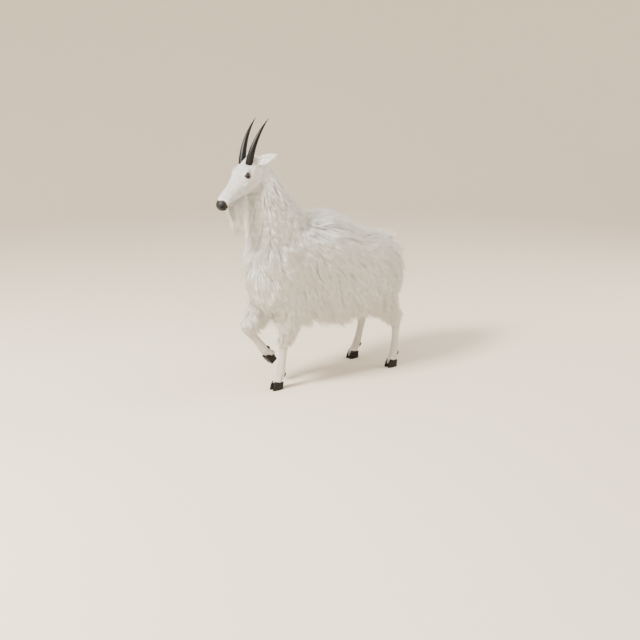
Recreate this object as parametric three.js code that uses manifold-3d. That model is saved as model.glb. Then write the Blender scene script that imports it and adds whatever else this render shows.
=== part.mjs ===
// A mountain goat in its long winter coat, life size, standing on three feet with its right foreleg lifted
// and folded.
// Sizes are millimetres and +Z is up. The goat faces -Y and its left side is +X.
// The origin is on the floor, under the middle of the whole animal.
import * as THREE from "three";
import { mergeVertices } from "three/addons/utils/BufferGeometryUtils.js";
import Module from "manifold-3d";

const wasm = await Module();
wasm.setup();

// Gap left between touching pieces
const GAP = 0.3;

// Share of the coat's depth that the solid body under the locks reaches out to
const CORE = 0.45;

const COLOURS = {
  coat: { color: 0xf3f0e6, roughness: 0.9, metalness: 0 },
  face: { color: 0xf2eee4, roughness: 0.85, metalness: 0 },
  nose: { color: 0x1c1a1b, roughness: 0.45, metalness: 0 },
  horn: { color: 0x1b1816, roughness: 0.35, metalness: 0 },
  hoof: { color: 0x1d1a18, roughness: 0.5, metalness: 0 },
  eye: { color: 0x2a1c10, roughness: 0.08, metalness: 0 },
};

// A point by how far it is forward, to the goat's left, and up
const at = (forward, left, up) => new THREE.Vector3(left, -forward, up);
const LEFT = at(0, 1, 0);
const radians = THREE.MathUtils.degToRad;
const SIDES = [
  ["left", 1],
  ["right", -1],
];

// Each station gives the middle of a section: forward, left and up, then how far the bare skin reaches to
// each side, over and under that middle, and how deep the coat is there to the side, over and under. Stations
// run from the front to the back, or from the top of a leg down: there, over is the rear of the leg and under
// is its front.
const TORSO = [
  { mid: [436, 0, 690], skin: [16, 30, 30], coat: [20, 24, 24] },
  { mid: [424, 0, 690], skin: [62, 92, 90], coat: [34, 30, 34] },
  { mid: [394, 0, 690], skin: [100, 150, 146], coat: [44, 40, 48] },
  { mid: [330, 0, 690], skin: [136, 216, 190], coat: [48, 58, 54] },
  { mid: [235, 0, 695], skin: [156, 256, 222], coat: [50, 100, 60] },
  { mid: [120, 0, 690], skin: [170, 278, 230], coat: [50, 110, 72] },
  { mid: [0, 0, 680], skin: [186, 268, 224], coat: [48, 78, 86] },
  { mid: [-115, 0, 668], skin: [200, 236, 212], coat: [46, 52, 98] },
  { mid: [-230, 0, 660], skin: [204, 206, 194], coat: [46, 46, 96] },
  { mid: [-335, 0, 658], skin: [192, 184, 166], coat: [46, 46, 88] },
  { mid: [-430, 0, 660], skin: [170, 162, 132], coat: [46, 48, 74] },
  { mid: [-510, 0, 662], skin: [140, 128, 96], coat: [44, 44, 54] },
  { mid: [-568, 0, 664], skin: [100, 82, 64], coat: [40, 36, 40] },
  { mid: [-600, 0, 665], skin: [54, 40, 36], coat: [32, 28, 30] },
];
const NECK = [
  { mid: [410, 7, 1296], skin: [50, 52, 50], coat: [16, 16, 20] },
  { mid: [374, 6, 1224], skin: [64, 74, 74], coat: [34, 40, 36] },
  { mid: [345, 4, 1128], skin: [76, 100, 88], coat: [46, 58, 50] },
  { mid: [310, 0, 1016], skin: [90, 140, 108], coat: [52, 72, 60] },
  { mid: [272, 0, 900], skin: [108, 178, 134], coat: [52, 80, 64] },
  { mid: [228, 0, 790], skin: [112, 150, 160], coat: [46, 60, 60] },
  { mid: [190, 0, 720], skin: [90, 100, 130], coat: [30, 30, 40] },
];
const TAIL = [
  { mid: [-560, 0, 762], skin: [20, 15, 15], coat: [8, 8, 8] },
  { mid: [-612, 0, 744], skin: [22, 15, 14], coat: [16, 14, 10] },
  { mid: [-640, 0, 696], skin: [22, 13, 12], coat: [22, 18, 12] },
  { mid: [-648, 0, 650], skin: [14, 9, 8], coat: [22, 16, 12] },
  { mid: [-650, 0, 622], skin: [5, 3, 3], coat: [14, 12, 10] },
];

// The upper part of each leg carries long hair, and the lower part goes from the knee or hock to the hoof
const FORELEG_STANDING = {
  upper: [
    { mid: [285, 84, 720], skin: [50, 95, 85], coat: [24, 24, 20] },
    { mid: [250, 88, 610], skin: [58, 88, 80], coat: [30, 36, 26] },
    { mid: [228, 76, 505], skin: [46, 62, 62], coat: [32, 46, 30] },
    { mid: [238, 60, 395], skin: [33, 42, 42], coat: [30, 44, 28] },
    { mid: [251, 47, 305], skin: [27, 31, 32], coat: [12, 16, 10] },
  ],
  lower: [
    { mid: [251, 48, 324], skin: [24, 27, 27] },
    { mid: [253, 45, 294], skin: [28, 31, 34] },
    { mid: [256, 41, 252], skin: [21, 25, 25] },
    { mid: [262, 34, 180], skin: [19, 22, 20] },
    { mid: [270, 27, 102], skin: [23, 28, 24] },
    { mid: [281, 23, 66], skin: [23, 24, 24] },
    { mid: [292, 20, 41], skin: [28, 32, 31] },
  ],
  turn: 0,
};
const FORELEG_LIFTED = {
  upper: [
    { mid: [300, -82, 720], skin: [50, 95, 85], coat: [24, 24, 20] },
    { mid: [266, -88, 620], skin: [58, 88, 82], coat: [30, 36, 26] },
    { mid: [284, -90, 536], skin: [50, 68, 70], coat: [32, 48, 28] },
    { mid: [344, -88, 464], skin: [36, 48, 46], coat: [30, 46, 26] },
    { mid: [412, -85, 386], skin: [28, 31, 32], coat: [12, 16, 10] },
  ],
  lower: [
    { mid: [406, -85, 402], skin: [24, 22, 22] },
    { mid: [416, -85, 374], skin: [28, 27, 33] },
    { mid: [398, -84, 340], skin: [21, 25, 27] },
    { mid: [362, -82, 290], skin: [19, 22, 20] },
    { mid: [312, -80, 222], skin: [23, 28, 24] },
    { mid: [283, -79, 197], skin: [23, 24, 24] },
    { mid: [259, -78, 178], skin: [28, 32, 31] },
  ],
  turn: -48,
};
const HINDLEG = {
  upper: [
    { mid: [-445, 84, 735], skin: [55, 105, 105], coat: [26, 24, 24] },
    { mid: [-436, 98, 625], skin: [66, 122, 126], coat: [32, 44, 30] },
    { mid: [-412, 108, 520], skin: [56, 96, 100], coat: [34, 56, 34] },
    { mid: [-446, 112, 422], skin: [38, 58, 60], coat: [32, 54, 30] },
    { mid: [-522, 115, 324], skin: [24, 36, 34], coat: [14, 20, 12] },
  ],
  lower: [
    { mid: [-518, 115, 338], skin: [22, 34, 26] },
    { mid: [-532, 116, 306], skin: [25, 38, 32] },
    { mid: [-536, 117, 262], skin: [20, 29, 25] },
    { mid: [-530, 118, 180], skin: [18, 22, 20] },
    { mid: [-518, 120, 102], skin: [22, 27, 23] },
    { mid: [-506, 121, 66], skin: [22, 23, 23] },
    { mid: [-494, 122, 41], skin: [27, 31, 30] },
  ],
  turn: 0,
};
const SHANK_COAT = 3;

// How far each hind hoof is set ahead of the leg as listed, and out from it
const STRIDE = { left: [-20, 2], right: [62, 40] };

// A leg swung from the hip, so that its hoof comes forward and out and the upper end stays
function swing(leg, side, [forward, out]) {
  const hip = leg.upper[0].mid[2];
  const move = (station) => {
    const share = Math.min((hip - station.mid[2]) / hip, 1);
    const [f, l, u] = station.mid;
    return { ...station, mid: [f + forward * share, side * (l + out * share), u] };
  };
  return { ...leg, upper: leg.upper.map(move), lower: leg.lower.map(move) };
}

const LEGS = {
  foreleg_left: FORELEG_STANDING,
  foreleg_right: FORELEG_LIFTED,
  hindleg_left: swing(HINDLEG, 1, STRIDE.left),
  hindleg_right: swing(HINDLEG, -1, STRIDE.right),
};
const DEWCLAW = { half: 9, deep: 8, tall: 15, apart: 12, below: 12 };

// A claw is one of the two halves of a hoof. Levels go up from the sole
const CLAW = { length: 74, width: 27, cleft: 3, heel: 0.7 };
const CLAW_LEVELS = [
  { up: -41, wide: 1, shift: 0, slope: 0 },
  { up: -28, wide: 0.98, shift: -1, slope: 0 },
  { up: -10, wide: 0.92, shift: -5, slope: 2 },
  { up: 6, wide: 0.8, shift: -12, slope: 6 },
];

// The head starts at the base of the skull, turned down along the face and a little to the goat's left.
// Its sections are given by how far each is towards the nose.
const HEAD = { base: [404, 9, 1306], pitch: 36, yaw: 11, coat: 4 };
const HEAD_SECTIONS = [
  { nose: 343, drop: 6, skin: [15, 12, 15] },
  { nose: 336, drop: 5, skin: [25, 20, 25] },
  { nose: 320, drop: 2, skin: [32, 27, 32] },
  { nose: 298, drop: 0, skin: [33, 31, 37] },
  { nose: 266, drop: 0, skin: [31, 32, 40] },
  { nose: 230, drop: 0, skin: [33, 36, 47] },
  { nose: 190, drop: 0, skin: [41, 41, 57] },
  { nose: 154, drop: 0, skin: [51, 49, 66] },
  { nose: 118, drop: 0, skin: [59, 57, 74] },
  { nose: 80, drop: 0, skin: [62, 62, 79] },
  { nose: 40, drop: 0, skin: [58, 62, 77] },
  { nose: 4, drop: 0, skin: [46, 50, 60] },
  { nose: -18, drop: 0, skin: [28, 30, 36] },
];
const BROW = { back: 2, inner: 4, rise: 8, size: [30, 14, 19] };
const CHIN = { nose: 302, crown: -29, size: [25, 20, 15] };
const EYE = { nose: 118, left: 47, crown: 28, radius: 15, lid: 2.6 };
const EYE_OPENING = { half: 14, upper: 13, lower: 11 };
const NOSE = { nose: 308, crown: -9, reach: 60, tall: 60, tilt: 14 };
const NOSTRIL = { nose: 341, left: 18, crown: 2, size: [14, 5, 7] };
const MOUTH = { front: 350, corner: 246, crown: -18, height: 1.6, depth: 5, tilt: -4 };
const HORN = {
  nose: 56,
  left: 25,
  crown: 50,
  radius: 21,
  length: 262,
  rise: 84,
  bend: 38,
  splay: 8,
  rings: 9,
};
const EAR = { nose: 24, left: 46, crown: 38, length: 116, half: 25, deep: 9 };
const EAR_PROFILE = [
  [-0.1, 0.45, 1],
  [0.08, 0.62, 1],
  [0.28, 0.94, 0.88],
  [0.48, 1, 0.72],
  [0.68, 0.82, 0.58],
  [0.84, 0.48, 0.42],
  [0.96, 0.16, 0.24],
  [1, 0.05, 0.14],
];

// The long locks of each part: where their rows run along it and round it, in degrees, on both sides unless
// some pass 90, how far apart they grow, their size, how far the tips stand off the body and where they flow
const ROWS = {
  torso: [
    {
      from: 0.06,
      to: 0.93,
      angles: [56, 22, -12, -45],
      gap: 172,
      long: 215,
      wide: 146,
      lift: 24,
      flow: [-0.55, 0, -1],
    },
    {
      from: 0.1,
      to: 0.88,
      angles: [-72],
      gap: 200,
      long: 120,
      wide: 130,
      lift: 34,
      flow: [-0.4, 0, -1],
    },
    {
      from: 0.2,
      to: 0.78,
      angles: [90],
      gap: 128,
      long: 165,
      wide: 100,
      lift: 20,
      flow: [-1, 0, -0.1],
    },
  ],
  neck: [
    {
      from: 0.09,
      to: 0.7,
      angles: [50, 6, -42],
      gap: 172,
      long: 200,
      wide: 144,
      lift: 26,
      flow: [-0.3, 0, -1],
    },
    {
      from: 0.12,
      to: 0.7,
      angles: [-90],
      gap: 130,
      long: 180,
      wide: 96,
      lift: 26,
      flow: [-0.1, 0, -1],
    },
    {
      from: 0.08,
      to: 0.66,
      angles: [90],
      gap: 110,
      long: 160,
      wide: 90,
      lift: 24,
      flow: [-0.8, 0, -0.7],
    },
  ],
  foreleg: [
    {
      from: 0.36,
      to: 0.82,
      angles: [0, 72, 144, 216, 288],
      gap: 142,
      long: 140,
      wide: 86,
      lift: 17,
      flow: [-0.3, 0, -1],
    },
  ],
  hindleg: [
    {
      from: 0.24,
      to: 0.8,
      angles: [0, 72, 144, 216, 288],
      gap: 178,
      long: 160,
      wide: 116,
      lift: 20,
      flow: [-0.35, 0, -1],
    },
  ],
  tail: [
    {
      from: 0.4,
      to: 0.72,
      angles: [90, 20, 160, 271],
      gap: 140,
      long: 90,
      wide: 38,
      lift: 10,
      flow: [-0.1, 0, -1],
    },
  ],
};
const LOCK = { sunk: 16, thick: 13, stray: 11, vary: 0.14 };
const LOCK_SECTIONS = [
  { share: 0, wide: 0.6, thick: 1, rise: 0 },
  { share: 0.3, wide: 1, thick: 1, rise: 0 },
  { share: 0.64, wide: 0.8, thick: 0.8, rise: 0.45 },
  { share: 0.87, wide: 0.42, thick: 0.5, rise: 0.8 },
  { share: 1, wide: 0, thick: 0, rise: 1 },
];

// The beard's locks: how far back from the chin each row is, how many it has, how far they spread and their
// length
const BEARD = { front: 268, crown: -30, wide: 34, thick: 12, flow: [-0.12, 0, -1] };
const BEARD_ROWS = [
  { back: 0, count: 1, spread: 0, long: 170 },
  { back: 26, count: 2, spread: 15, long: 215 },
  { back: 54, count: 3, spread: 22, long: 225 },
  { back: 84, count: 2, spread: 18, long: 190 },
];

const headFrame = new THREE.Matrix4()
  .makeRotationZ(radians(HEAD.yaw))
  .multiply(new THREE.Matrix4().makeRotationX(radians(HEAD.pitch)))
  .setPosition(at(...HEAD.base));

// A point of the head, by how far it is towards the nose, to the left, and up from the middle of the face
const onHead = (nose, left, crown) => at(nose, left, crown).applyMatrix4(headFrame);

// The matrix that sets a shape on the head, tilted up and turned to the left
function headPlace(nose, left, crown, tilt = 0, toe = 0) {
  const turn = new THREE.Matrix4()
    .makeRotationZ(radians(toe))
    .multiply(new THREE.Matrix4().makeRotationX(radians(tilt)));
  return headFrame.clone().multiply(turn.setPosition(at(nose, left, crown)));
}

// A smooth body through its stations
class Form {
  constructor(stations, { sides = 16, steps = 2, square = 1 } = {}) {
    this.count = (stations.length - 1) * steps;
    this.sides = sides;
    this.square = square;
    const curve = (pick) => new THREE.CatmullRomCurve3(stations.map(pick));
    this.line = curve((s) => s.point ?? at(...s.mid));
    this.skin = curve((s) => new THREE.Vector3(...s.skin));
    this.coat = curve((s) => new THREE.Vector3(...(s.coat ?? [0, 0, 0])));
  }

  // The point on the surface at a share of the length and an angle, where 0 is the left side and 90 degrees
  // is over, out to a share of the coat's depth and by an extra distance
  point(share, angle, depth = 0, extra = 0) {
    const tangent = this.line.getTangent(share);
    const side = LEFT.clone().addScaledVector(tangent, -LEFT.dot(tangent)).normalize();
    const over = side.clone().cross(tangent);
    const reach = this.skin.getPoint(share).addScaledVector(this.coat.getPoint(share), depth);
    const bend = (value) => Math.sign(value) * Math.abs(value) ** this.square;
    const across = bend(Math.cos(angle)) * (reach.x + extra);
    const up = bend(Math.sin(angle)) * ((Math.sin(angle) > 0 ? reach.y : reach.z) + extra);
    return this.line.getPoint(share).addScaledVector(side, across).addScaledVector(over, up);
  }

  solid(depth = 0, extra = 0) {
    const rings = [];
    for (let i = 0; i <= this.count; i++) {
      const ring = [];
      for (let j = 0; j < this.sides; j++)
        ring.push(this.point(i / this.count, (j / this.sides) * Math.PI * 2, depth, extra));
      rings.push(ring);
    }
    const past = (share, distance) =>
      this.line.getPoint(share).addScaledVector(this.line.getTangent(share), distance);
    return solidOf(closeRings(rings, past(0, -extra), past(1, extra)));
  }
}

// Closes a row of rings into one surface, with a point at each end
function closeRings(rings, start, end) {
  const sides = rings[0].length;
  const points = [start, ...rings.flat(), end];
  const last = points.length - 1;
  const index = (ring, side) => 1 + ring * sides + (side % sides);
  const faces = [];
  for (let j = 0; j < sides; j++) {
    faces.push(0, index(0, j), index(0, j + 1));
    faces.push(last, index(rings.length - 1, j + 1), index(rings.length - 1, j));
    for (let i = 0; i < rings.length - 1; i++) {
      faces.push(index(i, j), index(i + 1, j), index(i, j + 1));
      faces.push(index(i, j + 1), index(i + 1, j), index(i + 1, j + 1));
    }
  }
  const geometry = new THREE.BufferGeometry().setFromPoints(points);
  geometry.setIndex(faces);
  return geometry;
}

// Turns every face of a mesh round
function flipped(geometry) {
  const faces = Array.from(geometry.index.array);
  for (let i = 0; i < faces.length; i += 3) [faces[i + 1], faces[i + 2]] = [faces[i + 2], faces[i + 1]];
  geometry.setIndex(faces);
  return geometry;
}

// A closed mesh as a solid that can be cut and joined, with its faces turned out
function solidOf(geometry) {
  const bare = geometry.clone();
  bare.deleteAttribute("normal");
  bare.deleteAttribute("uv");
  const merged = mergeVertices(bare, 1e-3);
  const solid = new wasm.Manifold(
    new wasm.Mesh({
      numProp: 3,
      vertProperties: merged.attributes.position.array,
      triVerts: new Uint32Array(merged.index.array),
    }),
  );
  return solid.volume() < 0 ? solidOf(flipped(merged)) : solid;
}

// A solid's surface as a mesh's geometry
function geometryOf(solid) {
  const { vertProperties, triVerts } = solid.getMesh();
  const geometry = new THREE.BufferGeometry();
  geometry.setAttribute("position", new THREE.BufferAttribute(vertProperties, 3));
  geometry.setIndex(new THREE.BufferAttribute(triVerts, 1));
  geometry.computeVertexNormals();
  return geometry;
}

// A finished solid with its surface moved out by the gap
function swollen(solid) {
  const geometry = geometryOf(solid);
  const { position, normal } = geometry.attributes;
  position.array.forEach((value, i) => (position.array[i] = value + normal.array[i] * GAP));
  return solidOf(geometry);
}

const join = (solids) => solids.reduce((all, next) => all.add(next));
const largest = (solid) =>
  solid.decompose().reduce((best, next) => (next.volume() > best.volume() ? next : best));

// An egg shape, given by its reach forward, left and up, and set in place by a matrix
function egg([forward, left, up], matrix, rows = 6, columns = 10) {
  const ball = new THREE.SphereGeometry(1, columns, rows);
  ball.scale(left, forward, up);
  return solidOf(ball.applyMatrix4(matrix));
}

// A round-edged almond between two corners, cut straight out from the eye
function eyeOpening(side) {
  const { half, upper, lower } = EYE_OPENING;
  const almond = new THREE.Shape();
  almond.moveTo(-half, -2);
  almond.quadraticCurveTo(-2, upper, half, 1);
  almond.quadraticCurveTo(1, -lower, -half, -2);
  const cut = new THREE.ExtrudeGeometry(almond, { depth: 40, bevelEnabled: false, curveSegments: 5 });
  const frame = new THREE.Matrix4().makeBasis(at(1, 0, 0), at(0, 0, 1), at(0, side, 0));
  frame.setPosition(at(EYE.nose, side * EYE.left, EYE.crown));
  return solidOf(cut.applyMatrix4(headFrame.clone().multiply(frame)));
}

const eyeBall = (side, radius) =>
  egg([radius, radius, radius], headPlace(EYE.nose, side * EYE.left, EYE.crown), 8, 14);

const headForm = new Form(
  HEAD_SECTIONS.map(({ nose, drop, skin }) => ({
    point: onHead(nose, 0, -drop),
    skin,
    coat: [HEAD.coat, HEAD.coat, HEAD.coat],
  })),
  { sides: 16, steps: 1, square: 0.9 },
);

// The head's outside, with the brows and the domes that the eyelids are cut from
function headCore(extra) {
  const pieces = [headForm.solid(1, extra)];
  const grown = (size) => size.map((value) => value + extra);
  for (const [, side] of SIDES) {
    const left = side * (EYE.left - BROW.inner);
    pieces.push(egg(grown(BROW.size), headPlace(EYE.nose - BROW.back, left, EYE.crown + BROW.rise)));
    pieces.push(eyeBall(side, EYE.radius + EYE.lid + extra));
  }
  pieces.push(egg(grown(CHIN.size), headPlace(CHIN.nose, 0, CHIN.crown)));
  return join(pieces);
}

// The block of space in front of the face that holds the bare nose
function noseSpace(extra) {
  const block = new THREE.BoxGeometry(90, NOSE.reach + 2 * extra, NOSE.tall + 2 * extra);
  block.translate(0, -NOSE.reach / 2, NOSE.tall / 2);
  return solidOf(block.applyMatrix4(headPlace(NOSE.nose, 0, NOSE.crown, NOSE.tilt)));
}

function nostrils(solid) {
  return SIDES.reduce((rest, [, side]) => {
    const place = headPlace(NOSTRIL.nose, side * NOSTRIL.left, NOSTRIL.crown, 30, side * -35);
    return rest.subtract(egg(NOSTRIL.size, place));
  }, solid);
}

// Eye sockets, nostrils and the line of the mouth
function carveHead(solid) {
  let head = nostrils(solid);
  for (const [, side] of SIDES) {
    head = head.subtract(eyeBall(side, EYE.radius + GAP));
    head = head.subtract(eyeOpening(side));
  }
  const slit = new THREE.BoxGeometry(120, MOUTH.front - MOUTH.corner, MOUTH.height);
  slit.applyMatrix4(headPlace((MOUTH.front + MOUTH.corner) / 2, 0, MOUTH.crown, MOUTH.tilt));
  return head.subtract(solidOf(slit).subtract(headForm.solid(1, -MOUTH.depth)));
}

// A horn rises from the forehead and bends back, with growth rings round its lower half
function hornCore(side, extra) {
  const count = 16;
  const here = onHead(HORN.nose, side * HORN.left, HORN.crown);
  const stations = [];
  for (let i = 0; i <= count; i++) {
    const share = i / count;
    const angle = radians(HORN.rise - HORN.bend * share ** 0.9);
    const out = side * Math.sin(radians(HORN.splay)) * (1 - share * 0.4);
    const swell = i < HORN.rings ? 1 + 0.035 * (-1) ** i : 1;
    const radius = HORN.radius * Math.max(1 - share ** 1.25, 0.02) * swell;
    stations.push({ point: here.clone(), skin: [radius, radius, radius * 1.08] });
    here.addScaledVector(at(-Math.cos(angle), out, Math.sin(angle)).normalize(), (HORN.length + 20) / count);
  }
  return new Form(stations, { sides: 10, steps: 1 }).solid(0, extra);
}

// A pointed leaf from the ear's root, as a share of the ear's own length, half width and depth
function earLeaf(side, [long, wide, deep], shift, extra) {
  const root = onHead(EAR.nose, side * EAR.left, EAR.crown);
  const lean = at(-0.78, side * 0.52, 0.34).normalize();
  const across = lean.clone().cross(at(0.35, side * 0.55, 0.05)).normalize();
  const face = across.clone().cross(lean).normalize();
  const middles = [];
  const rings = EAR_PROFILE.map(([share, half, thick]) => {
    const middle = root.clone().addScaledVector(lean, EAR.length * long * share);
    middle.addScaledVector(face, shift);
    middles.push(middle);
    return Array.from({ length: 10 }, (_, j) => {
      const angle = (j / 10) * Math.PI * 2;
      return middle
        .clone()
        .addScaledVector(across, Math.cos(angle) * (EAR.half * wide * half + extra))
        .addScaledVector(face, Math.sin(angle) * (EAR.deep * deep * thick + extra));
    });
  });
  return solidOf(closeRings(rings, middles[0], middles.at(-1)));
}

const earCore = (side, extra) => earLeaf(side, [1, 1, 1], 0, extra);
const carveEar = (side, solid) => solid.subtract(earLeaf(side, [0.88, 0.72, 1], 7, 0));

const torsoForm = new Form(TORSO, { sides: 24, steps: 1, square: 0.92 });
const neckForm = new Form(NECK, { sides: 20, steps: 1 });
const tailForm = new Form(TAIL, { sides: 8, steps: 1 });
const upperForms = {};
const lowerForms = {};
for (const [name, leg] of Object.entries(LEGS)) {
  const coat = [SHANK_COAT, SHANK_COAT, SHANK_COAT];
  upperForms[name] = new Form(leg.upper, { sides: 12, steps: 2 });
  lowerForms[name] = new Form(leg.lower.map((s) => ({ ...s, coat })), { sides: 10, steps: 1 });
}

// The leg from the knee or hock down, with two small dewclaws behind the fetlock
function lowerLeg(name, extra) {
  const pieces = [lowerForms[name].solid(1, extra)];
  const [fetlock, pastern] = LEGS[name].lower.slice(4, 6);
  const down = at(...pastern.mid).sub(at(...fetlock.mid)).normalize();
  const back = LEFT.clone().cross(down).normalize();
  for (const [, side] of SIDES) {
    const spot = at(...fetlock.mid)
      .addScaledVector(back, fetlock.skin[1])
      .addScaledVector(LEFT, side * DEWCLAW.apart)
      .addScaledVector(down, DEWCLAW.below);
    const frame = new THREE.Matrix4().makeBasis(LEFT, back, down.clone().negate()).setPosition(spot);
    pieces.push(egg([DEWCLAW.deep + extra, DEWCLAW.half + extra, DEWCLAW.tall + extra], frame, 4, 6));
  }
  return join(pieces);
}

// One claw: a flat sole with a round toe, leaning in to a smaller top
function claw({ lower, turn }, side, extra) {
  const frame = new THREE.Matrix4().makeRotationX(radians(turn)).setPosition(at(...lower.at(-1).mid));
  const middle = side * (CLAW.width + CLAW.cleft) * 0.5;
  const rings = CLAW_LEVELS.map(({ up, wide, shift, slope }, level) =>
    Array.from({ length: 12 }, (_, j) => {
      const c = Math.cos((j / 12) * Math.PI * 2);
      const s = Math.sin((j / 12) * Math.PI * 2);
      const reach = (c > 0 ? c : -(Math.abs(c) ** CLAW.heel)) * CLAW.length * 0.5 * wide;
      const half = Math.abs(s) ** 0.8 * CLAW.width * 0.5 * (1 - 0.35 * Math.max(c, 0) ** 2);
      const lean = Math.sign(s) === side ? wide : 1;
      const across = middle + Math.sign(s) * half * lean + s * extra;
      return at(4 + shift + reach + c * extra, across, up + slope * c - (level === 0 ? extra : 0));
    }),
  );
  const start = at(4, middle, CLAW_LEVELS[0].up - extra);
  const end = at(-6, middle, CLAW_LEVELS.at(-1).up + extra);
  return solidOf(closeRings(rings, start, end).applyMatrix4(frame));
}

// The surface that the locks lie on
class Surface {
  constructor(solid) {
    const { vertProperties, triVerts } = solid.getMesh();
    const vertex = (i) => new THREE.Vector3().fromArray(vertProperties, triVerts[i] * 3);
    this.faces = [];
    for (let i = 0; i < triVerts.length; i += 3) {
      const triangle = new THREE.Triangle(vertex(i), vertex(i + 1), vertex(i + 2));
      const middle = triangle.getMidpoint(new THREE.Vector3());
      const reach = Math.max(...[triangle.a, triangle.b, triangle.c].map((p) => p.distanceTo(middle)));
      this.faces.push({ triangle, middle, reach, normal: triangle.getNormal(new THREE.Vector3()) });
    }
  }

  // The nearest point, the way the surface faces there, and how far the asked point is outside it
  nearest(asked) {
    let best = Infinity;
    let found = null;
    const spot = new THREE.Vector3();
    const point = new THREE.Vector3();
    for (const face of this.faces) {
      if (face.middle.distanceTo(asked) - face.reach > best) continue;
      face.triangle.closestPointToPoint(asked, spot);
      const distance = spot.distanceTo(asked);
      if (distance < best) {
        best = distance;
        found = face;
        point.copy(spot);
      }
    }
    const away = asked.clone().sub(point);
    const outside = best < 1e-6 ? 0 : away.dot(found.normal) < 0 ? -best : best;
    return { point, normal: found.normal, outside };
  }
}

// The same numbers between 0 and 1 every time, from a seed
function randomFrom(seed) {
  let state = seed;
  return () => {
    state = (state * 1664525 + 1013904223) % 4294967296;
    return state / 4294967296;
  };
}

// Follows the flow of the hair from a root, and gives the sections of a flat lock that tapers along that line
function growLock(surface, root, lock, random) {
  const { long, wide, lift, flow, thick = LOCK.thick, sunk = LOCK.sunk } = lock;
  const length = long * (1 + LOCK.vary * (2 * random() - 1));
  const stray = radians(LOCK.stray * (2 * random() - 1));
  const drift = radians(LOCK.stray * 0.6 * (2 * random() - 1));
  const start = surface.nearest(root);
  const straight = at(...flow).normalize();
  const heading = straight.clone();
  const settle = (normal, turn) => {
    const inward = Math.min(heading.dot(normal), 0);
    heading.addScaledVector(normal, -inward).normalize().applyAxisAngle(normal, turn);
  };
  settle(start.normal, stray);
  const side = heading.clone().cross(start.normal);
  const sections = [];
  let here = start.point.clone();
  let normal = start.normal;
  LOCK_SECTIONS.forEach((section, i) => {
    if (i > 0) {
      const step = (section.share - LOCK_SECTIONS[i - 1].share) * length;
      here = here.clone().addScaledVector(heading, step);
      const under = surface.nearest(here);
      normal = under.normal;
      const wanted = section.rise * lift;
      if (under.outside < wanted) here.copy(under.point).addScaledVector(normal, wanted);
      heading.multiplyScalar(0.5).addScaledVector(straight, 0.5).normalize();
      settle(normal, drift);
    }
    const centre = here.clone().addScaledVector(start.normal, i === 0 ? -sunk : 0);
    sections.push({ centre, wide: (wide / 2) * section.wide, thick: thick * section.thick });
  });
  return { sections, side };
}

function lockSolid({ sections, side: first }, extra) {
  const side = first.clone();
  const centres = sections.map((s) => s.centre);
  const tip = centres.at(-1);
  const rings = sections.slice(0, -1).map(({ centre, wide, thick }, i) => {
    const tangent = centres[i + 1].clone().sub(centres[Math.max(i - 1, 0)]).normalize();
    side.addScaledVector(tangent, -side.dot(tangent)).normalize();
    const up = side.clone().cross(tangent).normalize();
    return [
      centre.clone().addScaledVector(side, wide + extra).addScaledVector(up, -extra),
      centre.clone().addScaledVector(up, thick + extra),
      centre.clone().addScaledVector(side, -wide - extra).addScaledVector(up, -extra),
    ];
  });
  const along = (from, to) => to.clone().sub(from).normalize();
  const start = centres[0].clone().addScaledVector(along(centres[1], centres[0]), extra);
  const end = tip.clone().addScaledVector(along(centres.at(-2), tip), extra);
  return solidOf(closeRings(rings, start, end));
}

// Plants a part's rows of locks, each row half a step on from the one before it
function plant(form, rows, surface, random) {
  const locks = [];
  const length = form.line.getLength();
  for (const row of rows) {
    const all = row.angles.some((angle) => angle > 90) ? row.angles : bothSides(row.angles);
    const steps = Math.max(Math.round(((row.to - row.from) * length) / row.gap), 1);
    all.forEach((angle, index) => {
      for (let i = 0; i <= steps; i++) {
        const share = row.from + ((row.to - row.from) * (i + (index % 2) * 0.5)) / steps;
        const turn = radians(angle + 5 * (2 * random() - 1));
        const root = form.point(Math.min(share, 0.99), turn, CORE);
        if (share > row.to + 0.01 || surface.nearest(root).outside < -4) continue;
        locks.push(growLock(surface, root, row, random));
      }
    });
  }
  return locks;
}

const bothSides = (angles) =>
  angles.flatMap((angle) => (angle === 90 || angle === -90 ? [angle] : [angle, 180 - angle]));

function plantBeard(surface, random) {
  return BEARD_ROWS.flatMap(({ back, count, spread, long }) =>
    Array.from({ length: count }, (_, i) => {
      const left = count > 1 ? spread * ((2 * i) / (count - 1) - 1) : 0;
      const root = onHead(BEARD.front - back, left, BEARD.crown - 30);
      return growLock(surface, root, { ...BEARD, long, lift: 4, sunk: 14 }, random);
    }),
  );
}

const parts = [
  { name: "torso", colour: "coat", core: (extra) => torsoForm.solid(CORE, extra) },
  { name: "neck", colour: "coat", core: (extra) => neckForm.solid(CORE, extra) },
  { name: "nose", colour: "nose", core: (extra) => nostrils(headCore(extra).intersect(noseSpace(extra))) },
  { name: "head", colour: "face", core: headCore, carve: carveHead },
  { name: "tail", colour: "coat", core: (extra) => tailForm.solid(CORE, extra) },
];
for (const name of Object.keys(LEGS))
  parts.push({
    name: `${name}_upper`,
    colour: "coat",
    core: (extra) => upperForms[name].solid(CORE, extra),
  });
for (const [name, leg] of Object.entries(LEGS)) {
  parts.push({ name: `${name}_lower`, colour: "face", core: (extra) => lowerLeg(name, extra) });
  for (const [place, side] of SIDES)
    parts.push({
      name: `${name}_claw_${place}`,
      colour: "hoof",
      core: (extra) => claw(leg, side, extra),
    });
}
for (const [place, side] of SIDES) {
  parts.push({
    name: `ear_${place}`,
    colour: "face",
    core: (extra) => earCore(side, extra),
    carve: (solid) => carveEar(side, solid),
  });
  parts.push({ name: `horn_${place}`, colour: "horn", core: (extra) => hornCore(side, extra) });
}

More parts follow.
